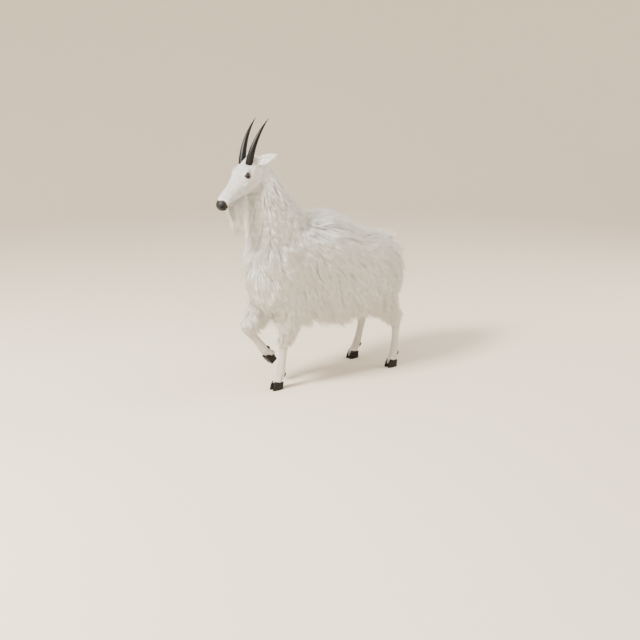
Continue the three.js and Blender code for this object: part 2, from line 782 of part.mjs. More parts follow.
// The locks of every part lie on the joined cores of the whole body
const fleshy = parts.filter(({ colour }) => colour === "coat" || colour === "face");
const surface = new Surface(join(fleshy.map((part) => part.core(0))));
const random = randomFrom(7);
const locks = {
  torso: plant(torsoForm, ROWS.torso, surface, random),
  neck: plant(neckForm, ROWS.neck, surface, random),
  tail: plant(tailForm, ROWS.tail, surface, random),
  head: plantBeard(surface, random),
};
for (const name of Object.keys(LEGS))
  locks[`${name}_upper`] = plant(upperForms[name], ROWS[name.split("_")[0]], surface, random);

const goat = new THREE.Group();

function addNode(name, colour, solid) {
  const mesh = new THREE.Mesh(geometryOf(solid), new THREE.MeshStandardMaterial(COLOURS[colour]));
  mesh.name = name;
  goat.add(mesh);
}

// Each part, with its locks, is cut clear of the parts before it, grown by the gap, and then of any that it
// still meets
const before = [];
const made = [];
for (const part of parts) {
  const grown = locks[part.name] ?? [];
  const whole = (extra) => join([part.core(extra), ...grown.map((lock) => lockSolid(lock, extra))]);
  let solid = before.reduce((rest, other) => rest.subtract(other), whole(0));
  if (part.carve) solid = part.carve(solid);
  const meets = made.filter((other) => solid.intersect(other).volume() > 0);
  solid = largest(meets.reduce((rest, other) => rest.subtract(swollen(other)).subtract(other), solid));
  before.push(whole(GAP));
  made.push(solid);
  addNode(part.name, part.colour, solid);
}
for (const [place, side] of SIDES) addNode(`eye_${place}`, "eye", eyeBall(side, EYE.radius));

// The middle of the whole animal is set over the origin
const box = new THREE.Box3().setFromObject(goat);
const middle = box.getCenter(new THREE.Vector3());
goat.position.set(-middle.x, -middle.y, 0);

export default goat;
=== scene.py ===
"""A mountain goat in its long winter coat: one skin with mesh hair over it, eyes, horns and hooves."""

import logging
from dataclasses import dataclass
from enum import Enum
from math import cos, pi, radians, sin

import bpy
import numpy as np
from mathutils import Matrix, Vector
from mathutils.bvhtree import BVHTree
from mathutils.kdtree import KDTree


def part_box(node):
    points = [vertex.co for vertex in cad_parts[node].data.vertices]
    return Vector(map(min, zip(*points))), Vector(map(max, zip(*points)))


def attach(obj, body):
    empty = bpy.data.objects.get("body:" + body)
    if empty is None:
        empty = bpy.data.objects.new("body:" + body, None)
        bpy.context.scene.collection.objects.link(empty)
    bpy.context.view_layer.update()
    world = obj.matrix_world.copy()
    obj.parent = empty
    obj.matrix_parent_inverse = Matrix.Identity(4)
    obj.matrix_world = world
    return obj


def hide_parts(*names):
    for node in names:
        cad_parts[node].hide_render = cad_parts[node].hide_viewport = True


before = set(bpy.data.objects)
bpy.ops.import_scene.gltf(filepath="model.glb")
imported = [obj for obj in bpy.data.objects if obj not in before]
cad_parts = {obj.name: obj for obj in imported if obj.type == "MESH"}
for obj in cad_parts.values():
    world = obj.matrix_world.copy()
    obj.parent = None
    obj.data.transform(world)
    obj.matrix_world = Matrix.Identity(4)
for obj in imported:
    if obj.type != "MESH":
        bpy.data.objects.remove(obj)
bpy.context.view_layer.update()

LOG = logging.getLogger("goat")
Array = np.ndarray
Shell = tuple[Array, list]
STRANDS_A_PIECE = 11500

# How much of the coat's depth the skin and the tips of the hair reach out to
SKIN_DEPTH = 0.0
TIP_DEPTH = 0.84
# The coat's depth at the side, over and under where the hair lies close, in mm
SHANK_COAT = (3, 3, 3)
HEAD_COAT = (4, 4, 4)


def stations(*rows: tuple, coat: tuple = ()) -> Array:
    """Makes the table of a body's stations.

    Args:
        *rows: The middle (forward, left, up), the bare skin's reach (side, over, under) and the coat's depth
            there, in mm.
        coat: The coat's depth at every station, where the rows leave it out.

    Returns:
        A row of nine numbers for each station.
    """
    return np.array([(*row, *coat) for row in rows], dtype=float)


TORSO = stations(
    (436, 0, 690, 16, 30, 30, 20, 24, 24),
    (424, 0, 690, 62, 92, 90, 34, 30, 34),
    (394, 0, 690, 100, 150, 146, 44, 40, 48),
    (330, 0, 690, 136, 216, 190, 48, 58, 54),
    (235, 0, 695, 156, 256, 222, 50, 100, 60),
    (120, 0, 690, 170, 278, 230, 50, 110, 72),
    (0, 0, 680, 186, 268, 224, 48, 78, 86),
    (-115, 0, 668, 200, 236, 212, 46, 52, 98),
    (-230, 0, 660, 204, 206, 194, 46, 46, 96),
    (-335, 0, 658, 192, 184, 166, 46, 46, 88),
    (-430, 0, 660, 170, 162, 132, 46, 48, 74),
    (-510, 0, 662, 140, 128, 96, 44, 44, 54),
    (-568, 0, 664, 100, 82, 64, 40, 36, 40),
    (-600, 0, 665, 54, 40, 36, 32, 28, 30),
)
NECK = stations(
    (410, 7, 1296, 50, 52, 50, 16, 16, 20),
    (374, 6, 1224, 64, 74, 74, 34, 40, 36),
    (345, 4, 1128, 76, 100, 88, 46, 58, 50),
    (310, 0, 1016, 90, 140, 108, 52, 72, 60),
    (272, 0, 900, 108, 178, 134, 52, 80, 64),
    (228, 0, 790, 112, 150, 160, 46, 60, 60),
    (190, 0, 720, 90, 100, 130, 30, 30, 40),
)
TAIL = stations(
    (-560, 0, 762, 20, 15, 15, 8, 8, 8),
    (-612, 0, 744, 22, 15, 14, 16, 14, 10),
    (-640, 0, 696, 22, 13, 12, 22, 18, 12),
    (-648, 0, 650, 14, 9, 8, 22, 16, 12),
    (-650, 0, 622, 5, 3, 3, 14, 12, 10),
)
FORELEG_STANDING_UPPER = stations(
    (285, 84, 720, 50, 95, 85, 24, 24, 20),
    (250, 88, 610, 58, 88, 80, 30, 36, 26),
    (228, 76, 505, 46, 62, 62, 32, 46, 30),
    (238, 60, 395, 33, 42, 42, 30, 44, 28),
    (251, 47, 305, 27, 31, 32, 12, 16, 10),
)
FORELEG_STANDING_LOWER = stations(
    (251, 48, 324, 24, 27, 27),
    (253, 45, 294, 28, 31, 34),
    (256, 41, 252, 21, 25, 25),
    (262, 34, 180, 19, 22, 20),
    (270, 27, 102, 23, 28, 24),
    (281, 23, 66, 23, 24, 24),
    (292, 20, 41, 28, 32, 31),
    coat=SHANK_COAT,
)
FORELEG_LIFTED_UPPER = stations(
    (300, -82, 720, 50, 95, 85, 24, 24, 20),
    (266, -88, 620, 58, 88, 82, 30, 36, 26),
    (284, -90, 536, 50, 68, 70, 32, 48, 28),
    (344, -88, 464, 36, 48, 46, 30, 46, 26),
    (412, -85, 386, 28, 31, 32, 12, 16, 10),
)
FORELEG_LIFTED_LOWER = stations(
    (406, -85, 402, 24, 22, 22),
    (416, -85, 374, 28, 27, 33),
    (398, -84, 340, 21, 25, 27),
    (362, -82, 290, 19, 22, 20),
    (312, -80, 222, 23, 28, 24),
    (283, -79, 197, 23, 24, 24),
    (259, -78, 178, 28, 32, 31),
    coat=SHANK_COAT,
)
HINDLEG_UPPER = stations(
    (-445, 84, 735, 55, 105, 105, 26, 24, 24),
    (-436, 98, 625, 66, 122, 126, 32, 44, 30),
    (-412, 108, 520, 56, 96, 100, 34, 56, 34),
    (-446, 112, 422, 38, 58, 60, 32, 54, 30),
    (-522, 115, 324, 24, 36, 34, 14, 20, 12),
)
HINDLEG_LOWER = stations(
    (-518, 115, 338, 22, 34, 26),
    (-532, 116, 306, 25, 38, 32),
    (-536, 117, 262, 20, 29, 25),
    (-530, 118, 180, 18, 22, 20),
    (-518, 120, 102, 22, 27, 23),
    (-506, 121, 66, 22, 23, 23),
    (-494, 122, 41, 27, 31, 30),
    coat=SHANK_COAT,
)
# The head: distance towards the nose and down from the middle, then the reach to the side, over and under
HEAD_SECTIONS = (
    (343, 6, 15, 12, 15),
    (336, 5, 25, 20, 25),
    (320, 2, 32, 27, 32),
    (298, 0, 33, 31, 37),
    (266, 0, 31, 32, 40),
    (230, 0, 33, 36, 47),
    (190, 0, 41, 41, 57),
    (154, 0, 51, 49, 66),
    (118, 0, 59, 57, 74),
    (80, 0, 62, 62, 79),
    (40, 0, 58, 62, 77),
    (4, 0, 46, 50, 60),
    (-18, 0, 28, 30, 36),
)
# Where the head sits, in mm, and how it is turned, in degrees
HEAD_BASE = (404, 9, 1306)
HEAD_PITCH = 36
HEAD_YAW = 11
# Places on the head, in mm
EYE_NOSE = 118
EYE_LEFT = 47
EYE_CROWN = 28
EYE_RADIUS = 15
MOUTH_CROWN = -18
PAD_NOSE = 312
FACE_NOSE = 380
FACE_LEFT = 90
FACE_CROWN = 75


def swing(rows: Array, side: int, forward: float, out: float) -> Array:
    """Swings a leg from the hip.

    Args:
        rows: Its stations on the left side.
        side: 1 for the left and -1 for the right.
        forward: How far the hoof comes forward.
        out: How far it comes out.

    Returns:
        The stations of the swung leg.
    """
    moved = rows.copy()
    share = np.minimum((HINDLEG_UPPER[0, 2] - rows[:, 2]) / HINDLEG_UPPER[0, 2], 1)
    moved[:, 0] += forward * share
    moved[:, 1] = side * (rows[:, 1] + out * share)
    return moved


LEGS = {
    "foreleg_left": (FORELEG_STANDING_UPPER, FORELEG_STANDING_LOWER),
    "foreleg_right": (FORELEG_LIFTED_UPPER, FORELEG_LIFTED_LOWER),
    "hindleg_left": (swing(HINDLEG_UPPER, 1, -20, 2), swing(HINDLEG_LOWER, 1, -20, 2)),
    "hindleg_right": (swing(HINDLEG_UPPER, -1, 62, 40), swing(HINDLEG_LOWER, -1, 62, 40)),
}


class Side(Enum):
    """The two sides of the goat."""

    LEFT = 1
    RIGHT = -1


def unit(vectors: Array) -> Array:
    """Scales vectors to length 1.

    Args:
        vectors: One vector or rows of them.

    Returns:
        The same directions, each 1 long.
    """
    return vectors / np.maximum(np.linalg.norm(vectors, axis=-1, keepdims=True), 1e-9)


def at(forward: float, left: float, up: float) -> Array:
    """Gives a direction or place by how far it is forward, left and up.

    Args:
        forward: Distance ahead.
        left: Distance to the goat's left.
        up: Height.

    Returns:
        The vector in the row frame, in the same unit.
    """
    return np.array([left, -forward, up], dtype=float)


HEAD_TURN = Matrix.Rotation(radians(HEAD_YAW), 3, "Z") @ Matrix.Rotation(radians(HEAD_PITCH), 3, "X")
HEAD_AXES = np.array(HEAD_TURN)


def head_mm(nose: float, left: float, crown: float) -> Array:
    """Gives a point of the head before the whole goat is centred.

    Args:
        nose: Distance towards the nose.
        left: Distance to the left.
        crown: Distance towards the crown.

    Returns:
        The point, in mm.
    """
    return HEAD_AXES @ at(nose, left, crown) + at(*HEAD_BASE)


HEAD_ROWS = np.array(
    [
        [-point[1], point[0], point[2], *reach, *HEAD_COAT]
        for nose, drop, *reach in HEAD_SECTIONS
        for point in [head_mm(nose, 0, -drop)]
    ]
)
EYE_BOX = [np.array(corner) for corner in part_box("eye_left")]
ORIGIN = (EYE_BOX[0] + EYE_BOX[1]) / 2 - head_mm(EYE_NOSE, EYE_LEFT, EYE_CROWN) / 1000


def on_head(nose: float, left: float, crown: float) -> Array:
    """Gives a point of the head in the row frame.

    Args:
        nose: Distance towards the nose, in mm.
        left: Distance to the left, in mm.
        crown: Distance towards the crown, in mm.

    Returns:
        The point, in m.
    """
    return head_mm(nose, left, crown) / 1000 + ORIGIN


def head_parts(points: Array) -> Array:
    """Turns points of the row frame into distances along the head's own directions.

    Args:
        points: Rows of points, in m.

    Returns:
        Rows of nose, left and crown distances, in mm.
    """
    local = (points - on_head(0, 0, 0)) @ HEAD_AXES * 1000
    return np.stack([-local[:, 1], local[:, 0], local[:, 2]], axis=1)


def turned(rows: Array) -> Array:
    """Turns rows of forward, left and up into the row frame's directions.

    Args:
        rows: Rows of three numbers.

    Returns:
        The same rows in the row frame.
    """
    return np.stack([rows[:, 1], -rows[:, 0], rows[:, 2]], axis=1)


def catmull(values: Array, shares: Array) -> Array:
    """Follows a smooth curve through rows of values.

    Args:
        values: The rows that the curve passes through.
        shares: How far along each asked row is, from 0 to 1.

    Returns:
        One row for each share.
    """
    rows = np.vstack([2 * values[0] - values[1], values, 2 * values[-1] - values[-2]])
    along = np.clip(shares, 0, 1) * (len(values) - 1)
    index = np.minimum(along.astype(int), len(values) - 2)
    t = (along - index)[:, None]
    a, b, c, d = (rows[index + i] for i in range(4))
    return 0.5 * (2 * b + (c - a) * t + (2 * a - 5 * b + 4 * c - d) * t**2 + (3 * b - a - 3 * c + d) * t**3)


def close_grid(grid: Array) -> Shell:
    """Closes rings of points into one surface with a point at each end.

    Args:
        grid: Rings of points, as (rings, sides, 3).

    Returns:
        The points and the faces.
    """
    rings, sides = grid.shape[:2]
    points = np.vstack([grid.reshape(-1, 3), grid[0].mean(0), grid[-1].mean(0)])
    first, last = rings * sides, rings * sides + 1
    last_ring = (rings - 1) * sides
    faces: list = []
    for j in range(sides):
        k = (j + 1) % sides
        faces.append((first, j, k))
        faces.append((last, last_ring + k, last_ring + j))
        for here in range(0, last_ring, sides):
            faces.append((here + j, here + sides + j, here + sides + k, here + k))
    return points, faces


def egg(centre: Array, axes: Array, size: tuple, rings: int = 24) -> Shell:
    """Makes an egg shape.

    Args:
        centre: Its middle, in m.
        axes: Columns that carry left, back and up to the row frame.
        size: Its reach forward, left and up, in mm.
        rings: Rings from pole to pole.

    Returns:
        The points and the faces.
    """
    pole = 0.02
    polar = np.linspace(pole, pi - pole, rings)[:, None]
    turn = np.linspace(0, 2 * pi, rings * 2, endpoint=False)[None, :]
    across, height = np.sin(polar), np.cos(polar) + 0 * turn
    ball = np.stack([across * np.cos(turn), across * np.sin(turn), height], axis=-1)
    ahead, left, up = size
    return close_grid((ball * np.array([left, ahead, up]) / 1000) @ axes.T + centre)


def mesh_object(name: str, shells: list[Shell]) -> bpy.types.Object:
    """Makes one object of several closed shells.

    Args:
        name: The object's name.
        shells: Points and faces of each shell.

    Returns:
        The object, linked to the scene, with its faces turned out.
    """
    points, faces, count = [], [], 0
    for shell_points, shell_faces in shells:
        points.append(shell_points)
        faces += [tuple(i + count for i in face) for face in shell_faces]
        count += len(shell_points)
    mesh = bpy.data.meshes.new(name)
    mesh.from_pydata(np.vstack(points).tolist(), [], faces)
    mesh.update()
    obj = bpy.data.objects.new(name, mesh)
    bpy.context.scene.collection.objects.link(obj)
    bpy.context.view_layer.objects.active = obj
    for other in bpy.context.selected_objects:
        other.select_set(False)
    obj.select_set(True)
    bpy.ops.object.mode_set(mode="EDIT")
    bpy.ops.mesh.select_all(action="SELECT")
    bpy.ops.mesh.normals_make_consistent(inside=False)
    bpy.ops.object.mode_set(mode="OBJECT")
    return obj


def changed(obj: bpy.types.Object, kind: str, **settings: object) -> None:
    """Applies one modifier to an object.

    Args:
        obj: The object.
        kind: The modifier's type.
        **settings: The modifier's values.
    """
    modifier = obj.modifiers.new(kind, kind)
    for key, value in settings.items():
        setattr(modifier, key, value)
    made = bpy.data.meshes.new_from_object(obj.evaluated_get(bpy.context.evaluated_depsgraph_get()))
    obj.modifiers.clear()
    obj.data = made


def combine(obj: bpy.types.Object, tool: bpy.types.Object, operation: str) -> None:
    """Cuts or joins one object by another, which is then removed.

    Args:
        obj: The object that changes.
        tool: The object that cuts or joins.
        operation: DIFFERENCE or UNION.
    """
    changed(obj, "BOOLEAN", operation=operation, object=tool, solver="MANIFOLD")
    bpy.data.objects.remove(tool)


def feed(tree: bpy.types.NodeTree, node: bpy.types.Node, inputs: dict) -> None:
    """Sets or links a node's inputs.

    Args:
        tree: The material's nodes.
        node: The node.
        inputs: What each input gets: a value, or the output of another node.
    """
    for key, value in inputs.items():
        if isinstance(value, bpy.types.NodeSocket):
            tree.links.new(value, node.inputs[key])
        else:
            node.inputs[key].default_value = value


def add_node(tree: bpy.types.NodeTree, kind: str, inputs: dict, **settings: str) -> bpy.types.Node:
    """Adds a node to a material.

    Args:
        tree: The material's nodes.
        kind: The node's type.
        inputs: What each input gets: a value, or the output of another node.
        **settings: The node's own settings.

    Returns:
        The node.
    """
    node = tree.nodes.new(f"ShaderNode{kind}")
    for key, value in settings.items():
        setattr(node, key, value)
    feed(tree, node, inputs)
    return node


def read(items: object, key: str, width: int, kind: type = float) -> Array:
    """Reads one value of every point, corner or face of a mesh.

    Args:
        items: The mesh's points, corners or faces.
        key: The value's name.
        width: How many numbers it has.
        kind: Their type.

    Returns:
        One row for each item.
    """
    values = np.empty(len(items) * width, dtype=kind)
    items.foreach_get(key, values)
    return values.reshape(-1, width)


@dataclass(frozen=True)
class Finish:
    """A procedural surface.

    Attributes:
        name: The material's name.
        colour: Its colour where no tone is painted.
        roughness: How dull it is.
        toned: Whether the mesh's own tone gives the colour.
        mottle: How strongly a fine pattern varies the colour.
        scale: The pattern's scale.
        bump: The height of the pattern, in mm.
        sheen: The weight of the soft edge light of hair.
        gloss: The strength of its reflection.
    """

    name: str
    colour: tuple = (0.8, 0.8, 0.8)
    roughness: float = 0.6
    toned: bool = False
    mottle: float = 0.1
    scale: float = 60.0
    bump: float = 0.2
    sheen: float = 0.0
    gloss: float = 0.5

    def build(self) -> bpy.types.Material:
        """Makes the material.

        Returns:
            The material with its nodes.
        """
        material = bpy.data.materials.new(self.name)
        material.use_nodes = True
        tree = material.node_tree
        place = add_node(tree, "TexCoord", {}).outputs["Object"]
        noise = add_node(tree, "TexNoise", {"Scale": self.scale, "Detail": 6, "Vector": place}).outputs["Fac"]
        limits = {"From Min": 0.3, "From Max": 0.7, "To Min": 1 - self.mottle, "To Max": 1}
        shade = add_node(tree, "MapRange", {**limits, "Value": noise}).outputs["Result"]
        colour = self.colour
        if self.toned:
            colour = add_node(tree, "Attribute", {}, attribute_name="Tone").outputs["Color"]
        tint = add_node(tree, "VectorMath", {0: colour, "Scale": shade}, operation="SCALE").outputs["Vector"]
        looks = {"Roughness": self.roughness, "Sheen Weight": self.sheen, "Specular IOR Level": self.gloss}
        looks["Base Color"] = tint
        if self.bump:
            height = {"Distance": self.bump / 1000, "Height": noise}
            looks["Normal"] = add_node(tree, "Bump", height).outputs["Normal"]
        feed(tree, tree.nodes["Principled BSDF"], looks)
        return material


@dataclass
class Loft:
    """A smooth body through its stations.

    Attributes:
        rows: Station rows, in mm.
        square: Below 1, the section is fuller than an oval.
        hair: Length of the hair at the front or top, and at the end, in mm.
        width: Width of a strand there, in mm.
        flow: Where gravity and the lie pull the hair: forward, left and up.
        follow: How much the hair follows the body's own line.
        density: Strands for each square metre, in thousands.
    """

    rows: Array
    square: float = 1.0
    hair: tuple = (100, 100)
    width: tuple = (5.0, 5.0)
    flow: tuple = (-0.5, 0, -1)
    follow: float = 0.3
    density: float = 20.0

    def grid(self, shares: Array, turns: Array, depth: float) -> Array:
        """Samples the surface.

        Args:
            shares: How far along, from 0 to 1.
            turns: Angles round it, where 0 is the left and a quarter turn is over.
            depth: Share of the coat's depth to reach out to.

        Returns:
            Points as (shares, turns, 3), in m.
        """
        rows = catmull(self.rows, shares)
        line, _, side, over = self.axes(shares)
        reach = rows[:, 3:6] + rows[:, 6:9] * depth
        c = np.sign(np.cos(turns)) * np.abs(np.cos(turns)) ** self.square
        s = np.sign(np.sin(turns)) * np.abs(np.sin(turns)) ** self.square
        across = reach[:, :1] * c[None, :]
        up = np.where(s[None, :] > 0, reach[:, 1:2], reach[:, 2:3]) * s[None, :]
        points = line[:, None] + across[..., None] * side[:, None] + up[..., None] * over[:, None]
        return points / 1000 + ORIGIN

    def axes(self, shares: Array) -> tuple[Array, Array, Array, Array]:
        """Finds the middle line and the directions across it.

        Args:
            shares: How far along, from 0 to 1.

        Returns:
            The line's points in mm, its direction, and the side and over directions.
        """
        middles, step = self.rows[:, :3], 1e-3
        line = turned(catmull(middles, shares))
        ahead = turned(catmull(middles, np.minimum(shares + step, 1)))
        behind = turned(catmull(middles, np.maximum(shares - step, 0)))
        tangent = unit(ahead - behind)
        left = np.array([1.0, 0, 0])
        side = unit(left - tangent * (tangent @ left)[:, None])
        return line, tangent, side, np.cross(side, tangent)

    def shell(self, depth: float, rings: int = 40, sides: int = 40) -> Shell:
        """Makes the closed surface.

        Args:
            depth: Share of the coat's depth to reach out to.
            rings: Rings along it.
            sides: Points round each ring.

        Returns:
            The points and the faces.
        """
        turns = np.linspace(0, 2 * pi, sides, endpoint=False)
        return close_grid(self.grid(np.linspace(0, 1, rings), turns, depth))

    def guides(self) -> Array:
        """Samples how the hair grows all over the body.

        Returns:
            Rows of place, hair length, strand width, stand-off, flow and density.
        """
        rings, sides, end = 26, 28, 0.01
        shares = np.linspace(end, 1 - end, rings)
        turns = np.linspace(0, 2 * pi, sides, endpoint=False)
        places = self.grid(shares, turns, SKIN_DEPTH)
        rows = catmull(self.rows, shares)
        tangent = self.axes(shares)[1]
        s, c = np.sin(turns)[None, :], np.cos(turns)[None, :]
        deep = np.abs(c) * rows[:, 6:7] + np.abs(s) * np.where(s > 0, rows[:, 7:8], rows[:, 8:9])
        flow = unit(at(*self.flow)[None, :] * (1 - self.follow) + tangent * self.follow)
        columns = [
            places,
            *(np.repeat((a + (b - a) * shares)[:, None, None], sides, 1) for a, b in (self.hair, self.width)),
            (deep * (TIP_DEPTH - SKIN_DEPTH) / 1000)[..., None],
            np.repeat(flow[:, None], sides, 1),
            np.full((rings, sides, 1), self.density),
        ]
        return np.concatenate(columns, axis=-1).reshape(rings * sides, -1)


def leg_lofts() -> dict[str, Loft]:
    """Makes the two parts of every leg.

    Returns:
        The lofts by name.
    """
    lofts = {}
    for name, (upper, lower) in LEGS.items():
        long, wide = ((130, 96), (3.4, 2.6)) if "fore" in name else ((145, 100), (3.6, 2.6))
        lofts[name + "_upper"] = Loft(upper, 1.0, long, wide, (-0.3, 0, -1), 0.5, 30)
        lofts[name + "_lower"] = Loft(lower, 1.0, (34, 15), (1.7, 1.3), (-0.1, 0, -1), 0.9, 80)
    return lofts


BODY_LOFTS = {
    "torso": Loft(TORSO, 0.92, (150, 158), (3.6, 3.8), (-0.55, 0, -1), 0.25, 25),
    "neck": Loft(NECK, 1.0, (58, 165), (2.4, 3.6), (-0.3, 0, -1), 0.35, 34),
    "tail": Loft(TAIL, 1.0, (60, 90), (3.4, 3.4), (-0.1, 0, -1), 0.6, 40),
    **leg_lofts(),
}
HEAD_LOFT = Loft(HEAD_ROWS, 0.9, (6, 24), (0.9, 1.9), (-0.5, 0, -0.5), 1.0, 200)


@dataclass(frozen=True)
class Ear:
    """A pointed leaf that stands out behind the horn.

    Attributes:
        side: Which ear.
        root: Place of its root: towards the nose, from the middle and towards the crown, in mm.
        length: Its length.
        half: Half its width.
        deep: Half its thickness.
        hair: Length and width of its hair in mm, and how far it stands off in m.
        density: Strands for each square metre, in thousands.
        profile: Shares of length, width and thickness along it.
    """

    side: Side
    root: tuple = (24, 46, 38)
    length: float = 116
    half: float = 25
    deep: float = 9
    hair: tuple = (15, 1.3, 0.002)
    density: float = 110
    profile: tuple = (
        (-0.1, 0.45, 1),
        (0.08, 0.62, 1),
        (0.28, 0.94, 0.88),
        (0.48, 1, 0.72),
        (0.68, 0.82, 0.58),
        (0.84, 0.48, 0.42),
        (0.96, 0.16, 0.24),
        (1, 0.05, 0.14),
    )

    def axes(self) -> tuple[Array, Array, Array]:
        """Gives the ear's own directions.

        Returns:
            Along it, across it and out of its open face.
        """
        side = self.side.value
        lean = unit(at(-0.78, side * 0.52, 0.34))
        across = unit(np.cross(lean, at(0.35, side * 0.55, 0.05)))
        return lean, across, unit(np.cross(across, lean))

    def shell(self, long: float = 1, wide: float = 1, shift: float = 0) -> Shell:
        """Makes the leaf.

        Args:
            long: Its share of the ear's length.
            wide: Its share of the ear's width.
            shift: How far it is moved out of the ear's face, in mm.

        Returns:
            The points and the faces.
        """
        lean, across, face = self.axes()
        profile = catmull(np.array(self.profile), np.linspace(0, 1, 24))
        turns = np.linspace(0, 2 * pi, 28, endpoint=False)
        root = on_head(self.root[0], self.side.value * self.root[1], self.root[2]) * 1000
        middle = root + lean * self.length * long * profile[:, :1] + face * shift
        flat = across[None, None] * (np.cos(turns)[None, :] * self.half * wide * profile[:, 1:2])[..., None]
        thick = face[None, None] * (np.sin(turns)[None, :] * self.deep * profile[:, 2:3])[..., None]
        return close_grid((middle[:, None] + flat + thick) / 1000)

    def guides(self) -> Array:
        """Samples how the ear's short hair grows.

        Returns:
            Rows of place, hair length, strand width, stand-off, flow and density.
        """
        points = self.shell()[0]
        facts = np.array([*self.hair, *self.axes()[0], self.density])
        return np.hstack([points, np.tile(facts, (len(points), 1))])


@dataclass
class Skin:
    """The goat's bare body as one closed surface, with its face, ears, lids, lips and nostrils.

    Attributes:
        body_cell: Size of the cells that the body is formed in, in m.
        head_cell: Size of the cells that the head is formed in, in m.
        muscles: Eggs under the skin of the head: place, size and whether both sides have one.
        lid: Thickness of the eyelids, in mm.
        gap: Space between the eye and its socket.
        slit: The eyes' opening: half its length, its rise and its drop.
        nostril: Place of the nostrils: towards the nose, from the middle and towards the crown.
        nostril_size: Their reach ahead, aside and up.
        nostril_turn: How they are turned in and tipped, in degrees.
        cup: The ears' hollow: its share of the length and of the width, and how far out it is, in mm.
        lips: Where the mouth's line starts and ends, towards the nose.
    """

    body_cell: float = 0.007
    head_cell: float = 0.002
    muscles: tuple = (
        ((86, 44, -22), (52, 17, 40), True),
        ((136, 44, 0), (36, 12, 8), True),
        ((104, 40, 46), (28, 12, 9), True),
        ((306, 0, -27), (25, 19, 14), False),
        ((314, 17, -3), (25, 14, 17), True),
        ((236, 12, 22), (70, 14, 11), True),
        ((40, 0, 44), (46, 46, 26), False),
    )
    lid: float = 1.9
    gap: float = 0.3
    slit: tuple = (14.8, 10.6, 9.2)
    nostril: tuple = (335, 23, 2)
    nostril_size: tuple = (15, 5.5, 7)
    nostril_turn: tuple = (-38, 28)
    cup: tuple = (0.9, 0.78, 6.5)
    lips: tuple = (352, 250)

    def build(self) -> bpy.types.Object:
        """Forms the body and the head and joins them.

        Returns:
            The skin.
        """
        body = mesh_object("skin", [loft.shell(SKIN_DEPTH) for loft in BODY_LOFTS.values()])
        changed(body, "REMESH", mode="VOXEL", voxel_size=self.body_cell)
        changed(body, "SMOOTH", factor=0.6, iterations=8)
        combine(body, self.head(), "UNION")
        changed(body, "TRIANGULATE")
        body.data.shade_smooth()
        return body

    def head(self) -> bpy.types.Object:
        """Forms the head.

        Returns:
            The head with everything cut into it.
        """
        shells = [HEAD_LOFT.shell(0, 60, 48)]
        for place, size, both in self.muscles:
            for side in Side if both else (Side.LEFT,):
                spot = on_head(place[0], place[1] * side.value, place[2])
                shells.append(egg(spot, HEAD_AXES, size))
        for side in Side:
            lid = EYE_RADIUS + self.lid
            shells.append(egg(eye_centre(side), HEAD_AXES, (lid, lid, lid)))
            shells.append(Ear(side).shell())
        head = mesh_object("head", shells)
        changed(head, "REMESH", mode="VOXEL", voxel_size=self.head_cell)
        changed(head, "SMOOTH", factor=0.6, iterations=5)
        for side in Side:
            socket = EYE_RADIUS + self.gap
            hollows = {
                "socket": egg(eye_centre(side), HEAD_AXES, (socket, socket, socket)),
                "almond": self.almond(side),
                "cup": Ear(side).shell(*self.cup),
                "nostril": self.nostril_egg(side),
            }
            for name, shell in hollows.items():
                combine(head, mesh_object(name, [shell]), "DIFFERENCE")
        combine(head, mesh_object("mouth", [self.mouth()]), "DIFFERENCE")
        return head

    def nostril_egg(self, side: Side) -> Shell:
        """Makes the egg that hollows a nostril.

        Args:
            side: Which nostril.

        Returns:
            The points and the faces.
        """
        nose, left, crown = self.nostril
        inward, tipped = self.nostril_turn
        turn = Matrix.Rotation(radians(side.value * inward), 3, "Z")
        axes = HEAD_AXES @ np.array(turn @ Matrix.Rotation(radians(tipped), 3, "X"))
        return egg(on_head(nose, side.value * left, crown), axes, self.nostril_size)

    def almond(self, side: Side) -> Shell:
        """Makes the block that opens the lids.

        Args:
            side: Which eye.

        Returns:
            The points and the faces.
        """
        half, above, below = self.slit
        slant = 0.12
        turns = np.linspace(0, 2 * pi, 40, endpoint=False)
        along = half * np.cos(turns)
        rise = np.where(np.sin(turns) > 0, above, below) * np.sin(turns) * np.abs(np.sin(turns)) ** 0.25
        rise = rise + along * slant
        axes = eye_axes(side)
        flat = np.stack([along, rise], axis=1) @ axes[:, :2].T
        rings = [(flat + axes[:, 2] * out) / 1000 + eye_centre(side) for out in (3.0, 34.0)]
        return close_grid(np.array(rings))

    def mouth(self) -> Shell:
        """Makes the thin bent sheet that parts the lips.

        Returns:
            The points and the faces.
        """
        front, corner = self.lips
        wide, deep = 46, 5
        rings = []
        for nose in np.linspace(front, corner, 14):
            share = (front - nose) / (front - corner)
            middle = MOUTH_CROWN + 5 * share**2 + 1.5 * sin(share * pi * 2)
            tall = 0.9 * (1 - 0.5 * share)
            corners = [(wide, -tall), (wide, tall), (-wide, tall), (-wide, -tall)]
            rings.append([on_head(nose, left, middle + up) for left, up in corners])
        keep = mesh_object("lips", [close_grid(np.array(rings))])
        inside = Loft(HEAD_ROWS - np.array([0, 0, 0, deep, deep, deep, 0, 0, 0]), HEAD_LOFT.square)
        combine(keep, mesh_object("inside", [inside.shell(0, 40, 40)]), "DIFFERENCE")
        points = np.array([v.co for v in keep.data.vertices])
        faces = [tuple(p.vertices) for p in keep.data.polygons]
        bpy.data.objects.remove(keep)
        return points, faces


def eye_centre(side: Side) -> Array:
    """Gives the middle of an eye.

    Args:
        side: Which eye.

    Returns:
        The point, in m.
    """
    return on_head(EYE_NOSE, side.value * EYE_LEFT, EYE_CROWN)


